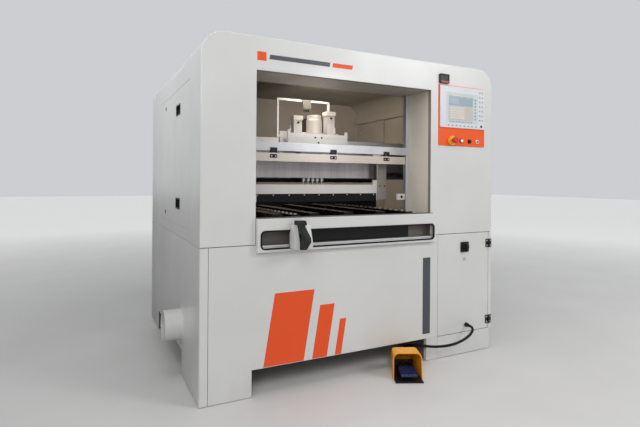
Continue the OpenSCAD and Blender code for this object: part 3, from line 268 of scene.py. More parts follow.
def plate(x0, x1, z0, z1, y0, y1):
    """A flat plate that faces the front: points and faces."""
    return slab([(x0, z0), (x1, z0), (x1, z1), (x0, z1)], y0, y1)


def solid(name, parts, body, slot, *finishes, edge=0.0, indices=None):
    """One mesh from several closed parts, each points and faces, with its normals turned outwards."""
    points = np.concatenate([p for p, _ in parts])
    starts = np.cumsum([0] + [len(p) for p, _ in parts])
    faces = [[v + s for v in face] for (_, fs), s in zip(parts, starts) for face in fs]
    mesh = bpy.data.meshes.new(name)
    mesh.from_pydata(points.tolist(), [], faces)
    for finish in finishes:
        mesh.materials.append(finish)
    if indices is not None:
        counts = [len(fs) for _, fs in parts]
        mesh.polygons.foreach_set("material_index", np.repeat(indices, counts).astype(np.int32))
    made = bmesh.new()
    made.from_mesh(mesh)
    bmesh.ops.remove_doubles(made, verts=made.verts, dist=1e-6)
    bmesh.ops.recalc_face_normals(made, faces=made.faces)
    made.to_mesh(mesh)
    made.free()
    shade_edges(mesh)
    piece = put(name, mesh, body)
    if edge:
        bevel_edges(piece, edge)
    return piece


# Trim stripes: plain cut vinyl film on the front, three slanted orange bands with a grey upright
# beside them, and short ones over the work opening. They are half a millimetre thick at most.
vinyl_orange = paint("vinyl_orange", (232, 84, 34), (226, 80, 32), gloss=0.42, dust=0.1,
                     coat=0.0, sheen=0.3)
vinyl_grey = paint("vinyl_grey", (66, 70, 78), (62, 66, 73), gloss=0.42, dust=0.1)
FILM = 0.4


def band(x0, x1, z0, z1, lean):
    """A slanted band: x0 to x1 at its foot, with its head moved along by lean."""
    return slab([(x0, z0), (x1, z0), (x1 + lean, z1), (x0 + lean, z1)], -FILM, 0)


orange_bands = [band(330, 560, 143, 520, 62), band(610, 700, 143, 430, 47), band(750, 790, 143, 340, 32)]
solid("lower_bands", orange_bands, "machine", "orange_plate", vinyl_orange)
solid("upright_band", [band(1362, 1420, 170, 640, 0)], "machine", "frame_paint", vinyl_grey)
head_bands = [band(286, 336, 1726, 1772, 0), band(352, 705, 1738, 1762, 4), band(722, 850, 1738, 1762, 4)]
solid("head_bands", head_bands, "machine", "orange_plate", vinyl_orange, vinyl_grey, indices=[0, 1, 0])

# Hood: one folded shell over the rear of the machine and a flat front with rounded upper
# corners. The inside is left in a thin grey-brown coat, darker than the outside partly as painted
# shade for the dim inside, with two stiffeners welded to the right-hand wall, and the jambs are
# sprayed to match. The liner's faces that look down take a darker paint, a painted shade.
SKIN_X = (2, 1933)
SKIN_TOP = 1848.5
MIDDLE_X = 967
ROOF_Z = 1700
WALL_X = 1932.0


def inside_hood(where, normal):
    """Faces of the shell that look inwards, to the middle or down from the roof, get the inner coat, which
    is darker partly as painted shade for the dim inside.
    """
    x, _, z = where.T
    inner = (x > SKIN_X[0]) & (x < SKIN_X[1]) & (z < SKIN_TOP)
    facing = normal[:, 0] * np.sign(x - MIDDLE_X) + normal[:, 2] * (z > ROOF_Z)
    return inner & (facing < 0.1)


dressed("hood_shell", casing_paint, shaded_inner_coat, edge=0.2, pick=inside_hood)
dressed("rear_panels", casing_paint, shaded_inner_coat, edge=1.0,
        pick=lambda p, n: inside_hood(p, n) & (n[:, 1] < 0.5))
dressed("hood_front", casing_paint, shaded_inner_coat, edge=4.0,
        pick=lambda p, n: inside_hood(p, n) & (p[:, 1] > 2),
        fold=lambda x, y, z: 1.0 if y < 0.5 else 0.08)
jamb_paint = paint("jamb_paint", (228, 219, 205), (220, 211, 197), gloss=0.45, dust=0.1)
# The liner's faces that look down take a darker copy of the jamb paint, a painted shade under the opening's
# top.
soffit_painted_shade = paint("soffit_painted_shade", (168, 162, 155), (160, 154, 147), gloss=0.45, dust=0.1)
dressed("opening_liner", jamb_paint, soffit_painted_shade, edge=0.8, pick=lambda p, n: n[:, 2] < -0.5)
rail_section = [(WALL_X, 1661), (1909, 1663), (1906, 1667), (1906, 1724), (1909, 1728), (WALL_X, 1730)]
post_side = [(WALL_X, 800), (1916, 803), (1914, 808), (1914, 1661), (WALL_X, 1661)]
stiffeners = [slab(rail_section, 290, 1714), slab(post_side, 1246, 1354)]
solid("hood_stiffeners", stiffeners, "machine", "panel_white", shaded_inner_coat, edge=1.5)

# Guard: an aluminium frame across the opening with two smoked panes above its beam. A cream
# plastic flap hangs under the beam on three black hinges and swings out over the panel.


def brushed_metal():
    """Drawn or ground metal: streaks along one axis in tone, gloss and height."""
    tree, given, out = shader_group(
        "brushed_metal",
        [("Metal", "NodeSocketColor", (0.7, 0.7, 0.7, 1)),
         ("Streak", "NodeSocketColor", (0.6, 0.6, 0.6, 1)),
         ("Gloss", "NodeSocketFloat", 0.35), ("Along", "NodeSocketVector", (1, 1, 1))],
        SURFACE)
    place = add(tree, "ShaderNodeTexCoord").outputs["Object"]
    drawn = add(tree, "ShaderNodeMapping", {"Vector": place, "Scale": given.outputs["Along"]}).outputs[0]
    lines = add(tree, "ShaderNodeTexNoise", {"Vector": drawn, "Scale": 260.0, "Detail": 3.0}).outputs["Fac"]
    broad = add(tree, "ShaderNodeTexNoise", {"Vector": drawn, "Scale": 26.0, "Detail": 2.0}).outputs["Fac"]
    both = add(tree, "ShaderNodeMath", {0: lines, 1: broad}, operation="ADD").outputs[0]
    tone = ramp(tree, both, 0.75, 1.25)
    tree.links.new(mix(tree, tone, given.outputs["Metal"], given.outputs["Streak"]), out.inputs["Color"])
    vary = ramp(tree, lines, 0.3, 0.7, -0.06, 0.08)
    rough = add(tree, "ShaderNodeMath", {0: given.outputs["Gloss"], 1: vary}, operation="ADD").outputs[0]
    tree.links.new(rough, out.inputs["Roughness"])
    tree.links.new(lines, out.inputs["Height"])
    return tree


BRUSHED_METAL = brushed_metal()
STREAK_DEPTH = 0.00005


def metal(name, color, streak, along, gloss=0.35, metallic=1.0):
    """Metal of that colour with streaks along the axis whose scale is small."""
    inputs = {"Metal": rgb(*color), "Streak": rgb(*streak), "Gloss": gloss, "Along": along}
    return finish_from(name, BRUSHED_METAL, inputs, STREAK_DEPTH, Metallic=metallic)


def moulded_plastic():
    """Moulded plastic or rubber: a fine spark-eroded grain with faint handling marks."""
    tree, given, out = shader_group(
        "moulded_plastic",
        [("Plastic", "NodeSocketColor", (0.1, 0.1, 0.1, 1)),
         ("Worn", "NodeSocketColor", (0.15, 0.15, 0.15, 1)),
         ("Gloss", "NodeSocketFloat", 0.45), ("Wear", "NodeSocketFloat", 0.35)],
        SURFACE)
    marks = times(tree, ramp(tree, noise(tree, 38.0, 6.0), 0.5, 0.75), given.outputs["Wear"])
    tree.links.new(mix(tree, marks, given.outputs["Plastic"], given.outputs["Worn"]), out.inputs["Color"])
    vary = ramp(tree, noise(tree, 55.0, 4.0), 0.3, 0.7, -0.06, 0.1)
    rough = add(tree, "ShaderNodeMath", {0: given.outputs["Gloss"], 1: vary}, operation="ADD").outputs[0]
    tree.links.new(rough, out.inputs["Roughness"])
    tree.links.new(noise(tree, 1400.0, 1.0), out.inputs["Height"])
    return tree


MOULDED_PLASTIC = moulded_plastic()


def plastic(name, color, worn, gloss=0.45, wear=0.35, depth=0.0001, **shader):
    """Moulded plastic of that colour, with faint marks in the worn colour."""
    inputs = {"Plastic": rgb(*color), "Worn": rgb(*worn), "Gloss": gloss, "Wear": wear}
    return finish_from(name, MOULDED_PLASTIC, inputs, depth, **shader)


GUARD_X = 851
POST_X = 540
HINGE_PITCH = 388
FLAP_FACE_Y = 220.9
FLAP_TOP_Z = 1268.5
guard_metal = metal("guard_metal", (208, 208, 211), (197, 198, 202), (0.03, 1, 0.03),
                    gloss=0.42, metallic=0.2)
# The posts take a darker copy of the beam's aluminium, a painted shade on their sides.
shaded_post_metal = metal("shaded_post_metal", (150, 148, 150), (139, 138, 140), (1, 1, 0.03),
                   gloss=0.42, metallic=0.2)
black_moulding = plastic("black_moulding", (20, 20, 22), (44, 44, 46), gloss=0.42, Specular_IOR_Level=0.35)
flap_plastic = plastic("flap_plastic", (208, 198, 187), (216, 207, 197), gloss=0.3, wear=0.2)
dressed("guard_frame", guard_metal, shaded_post_metal, edge=1.5,
        pick=lambda p, n: np.abs(p[:, 0] - GUARD_X) > POST_X)
dressed("flap_hinge_brackets", black_moulding, edge=0)
dressed("safety_flap", flap_plastic, black_moulding, edge=0.5,
        pick=lambda p, n: (p[:, 1] < FLAP_FACE_Y) | (p[:, 2] > FLAP_TOP_Z))

smoked_pane = bpy.data.materials.new("smoked_pane")
smoked_pane.use_nodes = True
pane_tree = smoked_pane.node_tree
pane_shader = pane_tree.nodes["Principled BSDF"]
pane_shader.inputs["IOR"].default_value = 1.45
pane_tint = mix(pane_tree, noise(pane_tree, 3.0, 2.0), rgb(66, 58, 50), rgb(54, 47, 41))
pane_tree.links.new(pane_tint, pane_shader.inputs["Base Color"])
pane_haze = ramp(pane_tree, noise(pane_tree, 6.0, 4.0), 0.3, 0.75, 0.0, 0.025)
pane_tree.links.new(pane_haze, pane_shader.inputs["Roughness"])
pane_shader.inputs["Alpha"].default_value = 0.15
dressed("guard_window", smoked_pane, edge=0.5)


def turned(profile, centre, axis, n=24):
    """A profile of radius and height, in millimetres, spun about an axis through a centre: points
    and faces, with each end closed by one face."""
    r, h = np.asarray(profile, float).T
    axis = np.asarray(axis, float)
    side = np.cross(axis, (0.3, 0.5, 0.8))
    side /= np.linalg.norm(side)
    other = np.cross(axis, side)
    a = np.linspace(0, 2 * np.pi, n, endpoint=False)
    ring = np.cos(a)[:, None] * side + np.sin(a)[:, None] * other
    points = np.asarray(centre, float) + r[:, None, None] * ring + h[:, None, None] * axis
    return at(*points.reshape(-1, 3).T), ring_faces(len(r), n)


def screw(centre, axis, r=4.0, h=2.2):
    """A button-head screw with its socket sunk in the crown."""
    profile = [(r, 0), (r, 0.35 * h), (0.88 * r, 0.72 * h), (0.62 * r, 0.97 * h), (0.45 * r, h),
               (0.42 * r, 0.45 * h), (0.05 * r, 0.4 * h)]
    return turned(profile, centre, axis, 18)


zinc = metal("zinc", (214, 214, 212), (196, 196, 194), (1, 1, 1), gloss=0.3)
flap_screws = [screw((GUARD_X + i * HINGE_PITCH + s * 12, 216, 1249), (0, -1, 0), 4.2)
               for i in (-1, 0, 1) for s in (-1, 1)]
solid("flap_screws", flap_screws, "flap", "steel", zinc)

# Casing screws: zinc button-head screws that hold the rear and right-hand panels to the frame,
# and two in the wall inside the hood. The front and the left side have none.
REAR_Y = 1740
RIGHT_X = 1935
COLUMNS = (40, 655, 1280, 1895)
rear_rows = [(1822, (330, 967, 1605)), (1300, (40, 1895)), (806, COLUMNS), (748, COLUMNS), (190, COLUMNS)]
rear_screws = [screw((x, REAR_Y, z), (0, 1, 0), 5.5, 2.6) for z, xs in rear_rows for x in xs]
right_screws = [screw((RIGHT_X, y, z), (1, 0, 0), 5.5, 2.6) for z in (190, 748) for y in (640, 1160, 1700)]
wall_screws = [screw((WALL_X, y, 1580), (-1, 0, 0), 7.0, 4.0) for y in (1189, 1665)]
solid("casing_screws", rear_screws + right_screws + wall_screws, "machine", "steel", zinc)

# Vent mats: a sheet of black filter foam clipped behind each of the two louvred fields in the
# back, so that dust and light stay out.
filter_foam = plastic("filter_foam", (30, 29, 28), (52, 50, 47), gloss=0.85, wear=0.6, depth=0.0015)
vent_mats = [plate(x - 140, x + 140, 1388, 1692, 1729, 1736.6) for x in (484, 1451)]
solid("vent_mats", vent_mats, "machine", "black_plastic", filter_foam, edge=2.0)

# Front tray: a folded box with a long rounded slot in its face, edged in black rubber. A pale
# rail runs behind the slot, a black curtain closes it, and a dark strip protects the sill.
rubber = plastic("rubber", (12, 11, 13), (26, 25, 26), gloss=0.45, wear=0.3, Specular_IOR_Level=0.18)
# The walls behind the slot take a darker copy of the paint, a painted shade in the recess.
tray_recess_shade = paint("tray_recess_shade", (104, 99, 92), (88, 84, 78), gloss=0.5, dust=0.3)


def tray_inside(where, normal):
    """The walls behind the slot take a darker paint, a painted shade in the recess."""
    x, y, z = where.T
    return (y > -28) & (z > 750) & (z < 912) & ((y > 2) | (x > 289) & (x < 1435))


dressed("front_tray", casing_paint, tray_recess_shade, edge=1.5, pick=tray_inside)
dressed("slot_trim", rubber, edge=1.2)
rail_metal = metal("rail_metal", (214, 215, 216), (198, 199, 201), (0.02, 1, 1), gloss=0.35, metallic=0.5)
dressed("carriage_rail", rail_metal, edge=0.6)
sill_section = [(-29, 914.0), (-28, 916.2), (-24, 917.0), (22, 917.0), (26, 916.2), (27, 914.0)]
sill_x = np.linspace(287, 1416, 40)


def carried_x(profile, xs):
    """A profile in Y and Z carried along X: points and faces, closed at both ends."""
    y, z = np.asarray(profile, float).T
    return at(xs[:, None], y[None], z[None]).reshape(-1, 3), ring_faces(len(xs), len(y))


curtain_cloth = plastic("curtain_cloth", (10, 10, 10), (22, 21, 22), gloss=0.35, wear=0.4,
                        Specular_IOR_Level=0.25)
PLEATS = 118
pleat_x = np.linspace(560, 1262, PLEATS)
pleat_y = np.where(np.arange(PLEATS) % 2 == 0, 18.4, 16.6)
curtain_face = np.stack([pleat_x, pleat_y], -1)
curtain_back = np.stack([pleat_x, pleat_y + 1.0], -1)
curtain_outline = np.vstack([curtain_face, curtain_back[::-1]])


def carried_z(outline, z0, z1):
    """An outline in X and Y carried from z0 to z1: points and faces, closed at both ends."""
    x, y = np.asarray(outline, float).T
    return np.concatenate([at(x, y, z0), at(x, y, z1)]), ring_faces(2, len(x))


solid("slot_curtain", [carried_z(curtain_outline, 778, 884)], "machine", "black_plastic", curtain_cloth)
sill_rubber = plastic("sill_rubber", (74, 64, 58), (92, 82, 74), gloss=0.55)
solid("sill_strip", [carried_x(sill_section, sill_x)], "machine", "rubber", sill_rubber)

# Shade strips: black rubber strips along the foot of the rear and right-hand walls behind the
# table. They are a painted shade: dark sheets that stand for the shade under the pad.
SHADE_STRIP_Z = (835, 945)


def wall_strip(x0, x1, y0, y1):
    """A flat black strip on the wall, standing on its edge."""
    return carried_z([(x0, y0), (x1, y0), (x1, y1), (x0, y1)], *SHADE_STRIP_Z)


shade_strips = [wall_strip(40, 1925, 1731, 1736.6), wall_strip(1926, WALL_X, 1356, 1730)]
solid("wall_shade_strips", shade_strips, "machine", "rubber", rubber, edge=1.0)

# Stop handle: a white wedge on the rail with a bowed black-green grip in front of it and a
# green thumb button in the grip's head, which frees the carriage.
grip_plastic = plastic("grip_plastic", (10, 18, 15), (26, 36, 32), gloss=0.46, Specular_IOR_Level=0.3)
thumb_plastic = plastic("thumb_plastic", (38, 156, 68), (60, 172, 88), gloss=0.3)
dressed("handle_carriage", casing_paint, edge=1.4)
dressed("handle_grip", grip_plastic, edge=3.0)
dressed("thumb_button", thumb_plastic, edge=1.2)

# Control column: an orange sheet plate with a flat display in a white bezel above a row of
# buttons, and a black service port over its left corner.
orange_paint = paint("orange_paint", (240, 92, 30), (234, 88, 28), gloss=0.36, dust=0.0,
                     coat=0.0, sheen=0.3)
bezel_plastic = plastic("bezel_plastic", (212, 212, 216), (204, 204, 208), gloss=0.32, wear=0.15)
yellow_plastic = plastic("yellow_plastic", (228, 182, 52), (214, 170, 50), gloss=0.32)
red_plastic = plastic("red_plastic", (206, 34, 38), (222, 66, 64), gloss=0.28)
white_plastic = plastic("white_plastic", (232, 232, 230), (220, 220, 218), gloss=0.3)
dressed("control_plate", orange_paint, edge=1.0)
dressed("display", bezel_plastic, edge=0.28)
BEZEL_GAPS_X = (1620, 1740)
dressed("control_bezels", yellow_plastic, black_moulding, zinc, edge=0.8,
        pick=lambda p, n: np.searchsorted(BEZEL_GAPS_X, p[:, 0]))
dressed("estop_button", red_plastic, edge=2.5)
dressed("start_button", white_plastic, edge=1.2)
dressed("stop_button", black_moulding, edge=1.2)
dressed("key_switch", white_plastic, edge=0.6)
KEY_X, KEY_Z = 1795, 1371
key_face = turned([(6.4, 0), (6.4, 0.7), (5.8, 1.1), (0.2, 1.1)], (KEY_X, -14, KEY_Z), (0, -1, 0))
key_slit = plate(KEY_X - 0.8, KEY_X + 0.8, KEY_Z - 3.2, KEY_Z + 3.2, -15.6, -15.0)
solid("key_core", [key_face, key_slit], "key", "black_plastic", black_moulding)
dressed("service_port", black_moulding, edge=1.2)

SCREEN = (1530.0, 1794.0, 1482.0, 1672.0)
SCREEN_Y = -10.0


def screen_picture(u, v):
    """Colours of a plain operating page over the screen: a pale frame, a slate field with a lighter
    heading, a sand field with rows, a column of keys at the right and a row along the foot."""
    picture = np.empty(u.shape + (4,))
    picture[:] = rgb(192, 204, 206)

    def box(u0, u1, v0, v1, color):
        picture[(u >= u0) & (u <= u1) & (v >= v0) & (v <= v1)] = rgb(*color)

    box(0.07, 0.86, 0.10, 0.96, (168, 182, 190))
    box(0.09, 0.84, 0.60, 0.89, (150, 165, 174))
    box(0.09, 0.84, 0.91, 0.95, (202, 200, 188))
    box(0.12, 0.40, 0.64, 0.84, (160, 175, 184))
    box(0.09, 0.84, 0.12, 0.57, (196, 188, 178))
    for row in range(5):
        box(0.12, 0.56, 0.16 + row * 0.08, 0.205 + row * 0.08, (208, 200, 190))
        box(0.60, 0.81, 0.16 + row * 0.08, 0.205 + row * 0.08, (186, 180, 172))
    for key in range(7):
        box(0.90, 0.96, 0.14 + key * 0.11, 0.20 + key * 0.11, (150, 160, 166))
    for key in range(8):
        box(0.10 + key * 0.095, 0.17 + key * 0.095, 0.03, 0.07, (150, 160, 166))
    return picture


def screen_mesh():
    """The screen as a flat grid, with its picture in a colour attribute on the points."""
    x0, x1, z0, z1 = SCREEN
    u, v = np.meshgrid(np.linspace(0, 1, 161), np.linspace(0, 1, 121))
    points = at(x0 + u * (x1 - x0), SCREEN_Y - 0.4, z0 + v * (z1 - z0)).reshape(-1, 3)
    i = np.arange(u.size).reshape(u.shape)
    faces = np.stack([i[:-1, :-1], i[:-1, 1:], i[1:, 1:], i[1:, :-1]], -1).reshape(-1, 4)
    mesh = bpy.data.meshes.new("screen")
    mesh.from_pydata(points.tolist(), [], faces.tolist())
    layer = mesh.attributes.new("picture", "FLOAT_COLOR", "POINT")
    layer.data.foreach_set("color", screen_picture(u, v).astype(np.float32).ravel())
    return mesh


screen_glass = bpy.data.materials.new("screen_glass")
screen_glass.use_nodes = True
screen_tree = screen_glass.node_tree
screen_shader = screen_tree.nodes["Principled BSDF"]
shown = add(screen_tree, "ShaderNodeAttribute", attribute_name="picture").outputs["Color"]
screen_tree.links.new(shown, screen_shader.inputs["Base Color"])
screen_tree.links.new(shown, screen_shader.inputs["Emission Color"])
screen_shader.inputs["Emission Strength"].default_value = 0.07
fingered = ramp(screen_tree, noise(screen_tree, 30.0, 5.0), 0.35, 0.7, 0.12, 0.3)
screen_tree.links.new(fingered, screen_shader.inputs["Roughness"])
screen_sheet = screen_mesh()
screen_sheet.materials.append(screen_glass)
put("screen", screen_sheet, "machine")


def key_cap(x, z, w, h):
    """A soft key's low cap on the bezel, by its middle and half its width and height."""
    return plate(x - w, x + w, z - h, z + h, -12.8, -11.8)


key_grey = plastic("key_grey", (122, 126, 134), (140, 144, 150), gloss=0.4)
side_keys = [key_cap(x, z, 5, 4) for x in (1812, 1834) for z in np.linspace(1510, 1690, 7)]
foot_keys = [key_cap(x, 1467, 6, 3.5) for x in np.linspace(1548, 1778, 8)]
cap_profile = [(8, 0), (8, 1.5), (6.5, 2.2), (3, 2.2), (2.5, 1.2), (0.2, 1.2)]
socket_cap = turned(cap_profile, (1826, -12, 1471), (0, -1, 0))
solid("bezel_keys", side_keys + foot_keys, "machine", "panel_white", key_grey, edge=0.4)
solid("socket_cap", [socket_cap], "machine", "black_plastic", black_moulding)
port_strip = plate(1485, 1547, 1729, 1742, -15, -13.5)
port_red = plastic("port_red", (150, 58, 44), (160, 78, 64), gloss=0.4)
solid("port_strip", [port_strip], "machine", "red_plastic", port_red, edge=0.4)

# Electrical cabinet: a folded box under the control column with its devices on a steel plate.
# Its door hangs on two black hinges and carries the main switch, a lock and the cable's gland.
plate_zinc = metal("plate_zinc", (186, 190, 192), (170, 174, 176), (1, 1, 0.05), gloss=0.4)
device_grey = plastic("device_grey", (150, 153, 156), (170, 172, 174), gloss=0.5)
dressed("electrical_cabinet", casing_paint, edge=0.8)
PANEL_FACE_Y = 559.5
dressed("electrical_panel", plate_zinc, device_grey, edge=1.0, pick=lambda p, n: p[:, 1] < PANEL_FACE_Y)
dressed("cabinet_door", casing_paint, edge=0.65)
dressed("frame_hinge_leaves", black_moulding, edge=0.5)
dressed("door_hinge_leaves", black_moulding, edge=0.5)
dressed("main_switch_plate", black_moulding, edge=1.2)
dressed("main_switch_knob", black_moulding, edge=0)
dressed("door_lock", zinc, edge=0)
dressed("cable_gland", black_moulding, edge=0.8)
leaf_z = [z + s * 16 for z in (198, 704) for s in (-1, 1)]
door_screws = [screw((1893, -4, z), (0, -1, 0), 4.6) for z in leaf_z]
strip_screws = [screw((1925, -4, z), (0, -1, 0), 4.6) for z in leaf_z]
solid("door_leaf_screws", door_screws, "door", "steel", zinc)
solid("strip_leaf_screws", strip_screws, "machine", "steel", zinc)

# Left side: a flat lift-off panel with two recessed grips and two quarter-turn locks, and the
# round steel spigot below it that takes the extraction hose.
dressed("side_panel", casing_paint, edge=0.8)
dressed("side_fittings", black_moulding, edge=0.8)
dressed("dust_port", casing_paint, edge=0.8)

# Table: a bed of sheet steel screwed to the frame, its dark colour a painted shade under the pad.
# It carries black plastic support bars, two of them lower, each with a row of bright steel studs
# for the panel to glide on.
shaded_bed_steel = metal("shaded_bed_steel", (84, 81, 78), (66, 64, 62), (0.05, 1, 1), gloss=0.5, metallic=0.6)
bar_black = plastic("bar_black", (8, 8, 9), (24, 24, 26), gloss=0.2, wear=0.25, Specular_IOR_Level=0.3)
dressed("table_bed", shaded_bed_steel, edge=1.0)
LOW_BAR_X = (530.6, 1290.7)
LOW_BAR_TOP = 924.4


def stud_tops(where, normal):
    """The studs that stand on the two lower bars are bright, and the bars are black."""
    x, _, z = where.T
    return (z > LOW_BAR_TOP) & ((np.abs(x - LOW_BAR_X[0]) < 26) | (np.abs(x - LOW_BAR_X[1]) < 26))


dressed("support_bars", bar_black, zinc, edge=1.0, pick=stud_tops)

# Bridge and boring unit: a welded beam on two columns with ground rails, and the carriage that
# runs on them with the spindle head, its motor, and the gear-driven row of drills. A black rubber
# strip under the bridge is a painted shade: a dark sheet that stands for the shade below the chip hood.
bridge_paint = paint("bridge_paint", (118, 116, 112), (106, 104, 100), gloss=0.5, dust=0.0)
ground_steel = metal("ground_steel", (190, 191, 193), (168, 169, 172), (0.03, 1, 1), gloss=0.28)
plate_alloy = metal("plate_alloy", (240, 236, 232), (224, 220, 215), (0.05, 1, 1), gloss=0.36, metallic=0.1)
cylinder_paint = paint("cylinder_paint", (210, 198, 184), (200, 187, 172), gloss=0.4, dust=0.0)
frame_white = paint("frame_white", (226, 222, 214), (216, 212, 204), gloss=0.4, dust=0.0)
stainless = metal("stainless", (164, 160, 159), (148, 144, 142), (1, 1, 0.03), gloss=0.34)
BEAM_FACE_Y = 479.9
dressed("bridge", bridge_paint, ground_steel, edge=1.5, pick=lambda p, n: p[:, 1] < BEAM_FACE_Y)
dressed("x_drive", plate_alloy, edge=1.5)
dressed("chip_hood", stainless, edge=0.5)
# A black strip under the bridge: a dark sheet that stands for the shade below the chip hood.
solid("bridge_shade_strip", [plate(252, 1300, 1098, 1121, 484, 490)], "machine", "rubber", rubber, edge=1.0)
HEAD_X = 798.0
FEED_X = 115
CAP_Z = 1480


def carriage_finish(where, normal):
    """Alloy for the plates, a drawn barrel and a beige cap for each of the two cylinders, and white
    for the thin frame over them."""
    x, y, z = where.T
    cylinders = (np.abs(np.abs(x - HEAD_X) - FEED_X) < 33) & (y > 366) & (y < 434) & (z > 1322)
    thin = (y > 443) & (y < 457) & (z > 1378.5) & ((x < 592) | (z > 1419.5))
    return np.where(cylinders, np.where(z > CAP_Z, 1, 3), np.where(thin, 2, 0))


barrel_alloy = metal("barrel_alloy", (214, 204, 196), (192, 182, 174), (1, 1, 0.03),
                     gloss=0.38, metallic=0.15)
dressed("head_carriage", plate_alloy, cylinder_paint, frame_white, barrel_alloy,
        edge=0.8, pick=carriage_finish)
dressed("boring_head", ground_steel, edge=1.0)
dressed("gearbox_cover", ground_steel, edge=0.8)
dressed("spindle_motor", cylinder_paint, edge=2.0)
for i in range(1, 6):
    dressed(f"spindle_{i}", ground_steel, edge=0.3)

# Carriage fittings: a valve block on the thin frame, push-in air fittings on it and on the two
# cylinders, and the black bolts that hold the apron.
valve_grey = plastic("valve_grey", (104, 99, 88), (94, 89, 79), gloss=0.45, wear=0.2)
valve_block = plate(738, 796, 1562, 1622, 424, 443)
valve_lid = plate(741, 793, 1568, 1600, 421, 424)
fitting = [(6, 0), (6, 4), (4.6, 4.6), (4.6, 9), (5.4, 9.6), (5.4, 12), (3.4, 12.6), (0.2, 12.6)]
valve_ports = [turned(fitting, (x, 434, 1562), (0, 0, -1), 16) for x in (752, 767, 782)]
feed_ports = [turned(fitting, (HEAD_X + s * FEED_X, 373, z), (0, -1, 0), 16)
              for s, top in ((-1, 1487), (1, 1527)) for z in (1345, top - 18)]
apron_bolts = [screw((HEAD_X + x, 318, z), (0, -1, 0), 6.0, 4.5)
               for x, z in ((-22, 1376), (22, 1376), (0, 1345))]
solid("valve_block", [valve_block, valve_lid], "carriage", "panel_white", valve_grey, edge=1.4)
solid("air_fittings", valve_ports + feed_ports, "carriage", "black_plastic", black_moulding)
solid("apron_bolts", apron_bolts, "carriage", "steel", black_moulding)

# Clamping bar: an off-white painted bar that two guided rods lower on to the panel, with a
# thick black rubber pad under it.
bar_paint = paint("bar_paint", (218, 214, 210), (210, 206, 202), gloss=0.42, dust=0.0)
dressed("presser_lifts", plate_alloy, edge=1.0)
dressed("presser_bar", bar_paint, edge=1.2)
dressed("presser_pad", rubber, edge=2.0)
pad_bolts = [screw((x, 300, 1022), (0, -1, 0), 4.0) for x in np.linspace(395, 1195, 9)]
solid("pad_bolts", pad_bolts, "presser", "steel", zinc)
lift_grey = paint("lift_grey", (152, 146, 136), (138, 132, 123), gloss=0.45, dust=0.0)
lift_plates = [plate(x, x + 68, 990, 1228, 292, 300) for x in (298, 1222)]
lift_bolts = [screw((x, 292, 1078), (0, -1, 0), 5.0, 3.0) for x in (314, 350, 1238, 1274)]
solid("lift_plates", lift_plates, "presser", "steel", lift_grey, edge=1.0)
solid("lift_bolts", lift_bolts, "presser", "steel", black_moulding)

# Light barrier: a white sensor with a dark lens on the inner side of each post, just above the
# table, which stops the stroke when a hand reaches in.
sensor_heads = [plate(x - 28, x + 28, 987, 1027, 226, 246) for x in (337, 1365)]
lens_profile = [(9, 0), (9, 1.2), (7.6, 2.0), (6.8, 1.0), (0.2, 0.6)]
sensor_lenses = [turned(lens_profile, (x, 226, 1007), (0, -1, 0)) for x in (337, 1365)]
solid("sensor_heads", sensor_heads, "machine", "panel_white", white_plastic, edge=2.5)
solid("sensor_lenses", sensor_lenses, "machine", "black_plastic", black_moulding)

# Foot pedal: a black base plate and a navy treadle with a rubber pad, under a thick yellow hood
# that keeps a dropped panel off it. It stands on the floor, turned towards the worker.
pedal_yellow = plastic("pedal_yellow", (240, 162, 32), (226, 146, 26), gloss=0.34, wear=0.3)
treadle_navy = plastic("treadle_navy", (16, 34, 78), (36, 60, 108), gloss=0.28, Specular_IOR_Level=0.45)
dressed("pedal_base", black_moulding, edge=0.35, weld=0.1)
dressed("pedal_guard", pedal_yellow, edge=2.0)
dressed("pedal_treadle", treadle_navy, edge=1.5)
PEDAL_X, PEDAL_Y = 1154, -106
PEDAL_TURN = np.radians(-25)


def tread_rise(y):
    """The height of the treadle's top at a place along the pedal's own axis."""
    return 48 + (y + 60) * 12 / 90


def tread_block(y0, y1, proud, half=42.0):
    """A block across the treadle from y0 to y1 on the pedal's own axis, that far proud of its top."""
    x = np.array([-half, half, half, -half] * 2)
    along = np.array([y0, y0, y1, y1] * 2)
    rise = tread_rise(along) + np.repeat([-0.6, proud], 4)
    across_x = PEDAL_X + x * np.cos(PEDAL_TURN) - along * np.sin(PEDAL_TURN)
    across_y = PEDAL_Y + x * np.sin(PEDAL_TURN) + along * np.cos(PEDAL_TURN)
    return at(across_x, across_y, rise), ring_faces(2, 4)


tread_ribs = [tread_block(y - 1.6, y + 1.6, 1.2) for y in np.linspace(-54, -17, 5)]
solid("tread_ribs", tread_ribs, "treadle", "navy_plastic", treadle_navy, edge=0.5)
solid("tread_pad", [tread_block(-12, 27, 1.6, 41.0)], "treadle", "rubber", rubber, edge=0.7)

# Pedal cable: a black rubber-sheathed lead of about 0.8 metres. It leaves the gland on the door
# and hangs in one bow, and the slack that an open door takes up lies behind the pedal.
PEDAL_DIR = np.array([-np.sin(PEDAL_TURN), np.cos(PEDAL_TURN), 0])
CABLE_END = np.array([PEDAL_X, PEDAL_Y, 45]) + PEDAL_DIR * 150
CABLE_START = np.array([1715, -24, 185])
CABLE_BOW = [
    [0, 0, 0], [0, -16, 0], [-4, -36, -4], [-15, -52, -11], [-32, -63, -20], [-60, -70, -35],
    [-105, -72, -53], [-160, -68, -69], [-210, -59, -77], [-255, -46, -81], [-300, -26, -83]]
CABLE_SLACK = [
    [158, -50, 57], [129, -20, 55], [108, 12, 49], [98, 48, 38], [96, 84, 22], [92, 112, 3],
    [80, 131, -16], [62, 138, -29], [43, 130, -36], [30, 109, -36], [24, 84, -28], [19, 58, -14],
    [13, 37, -3]]
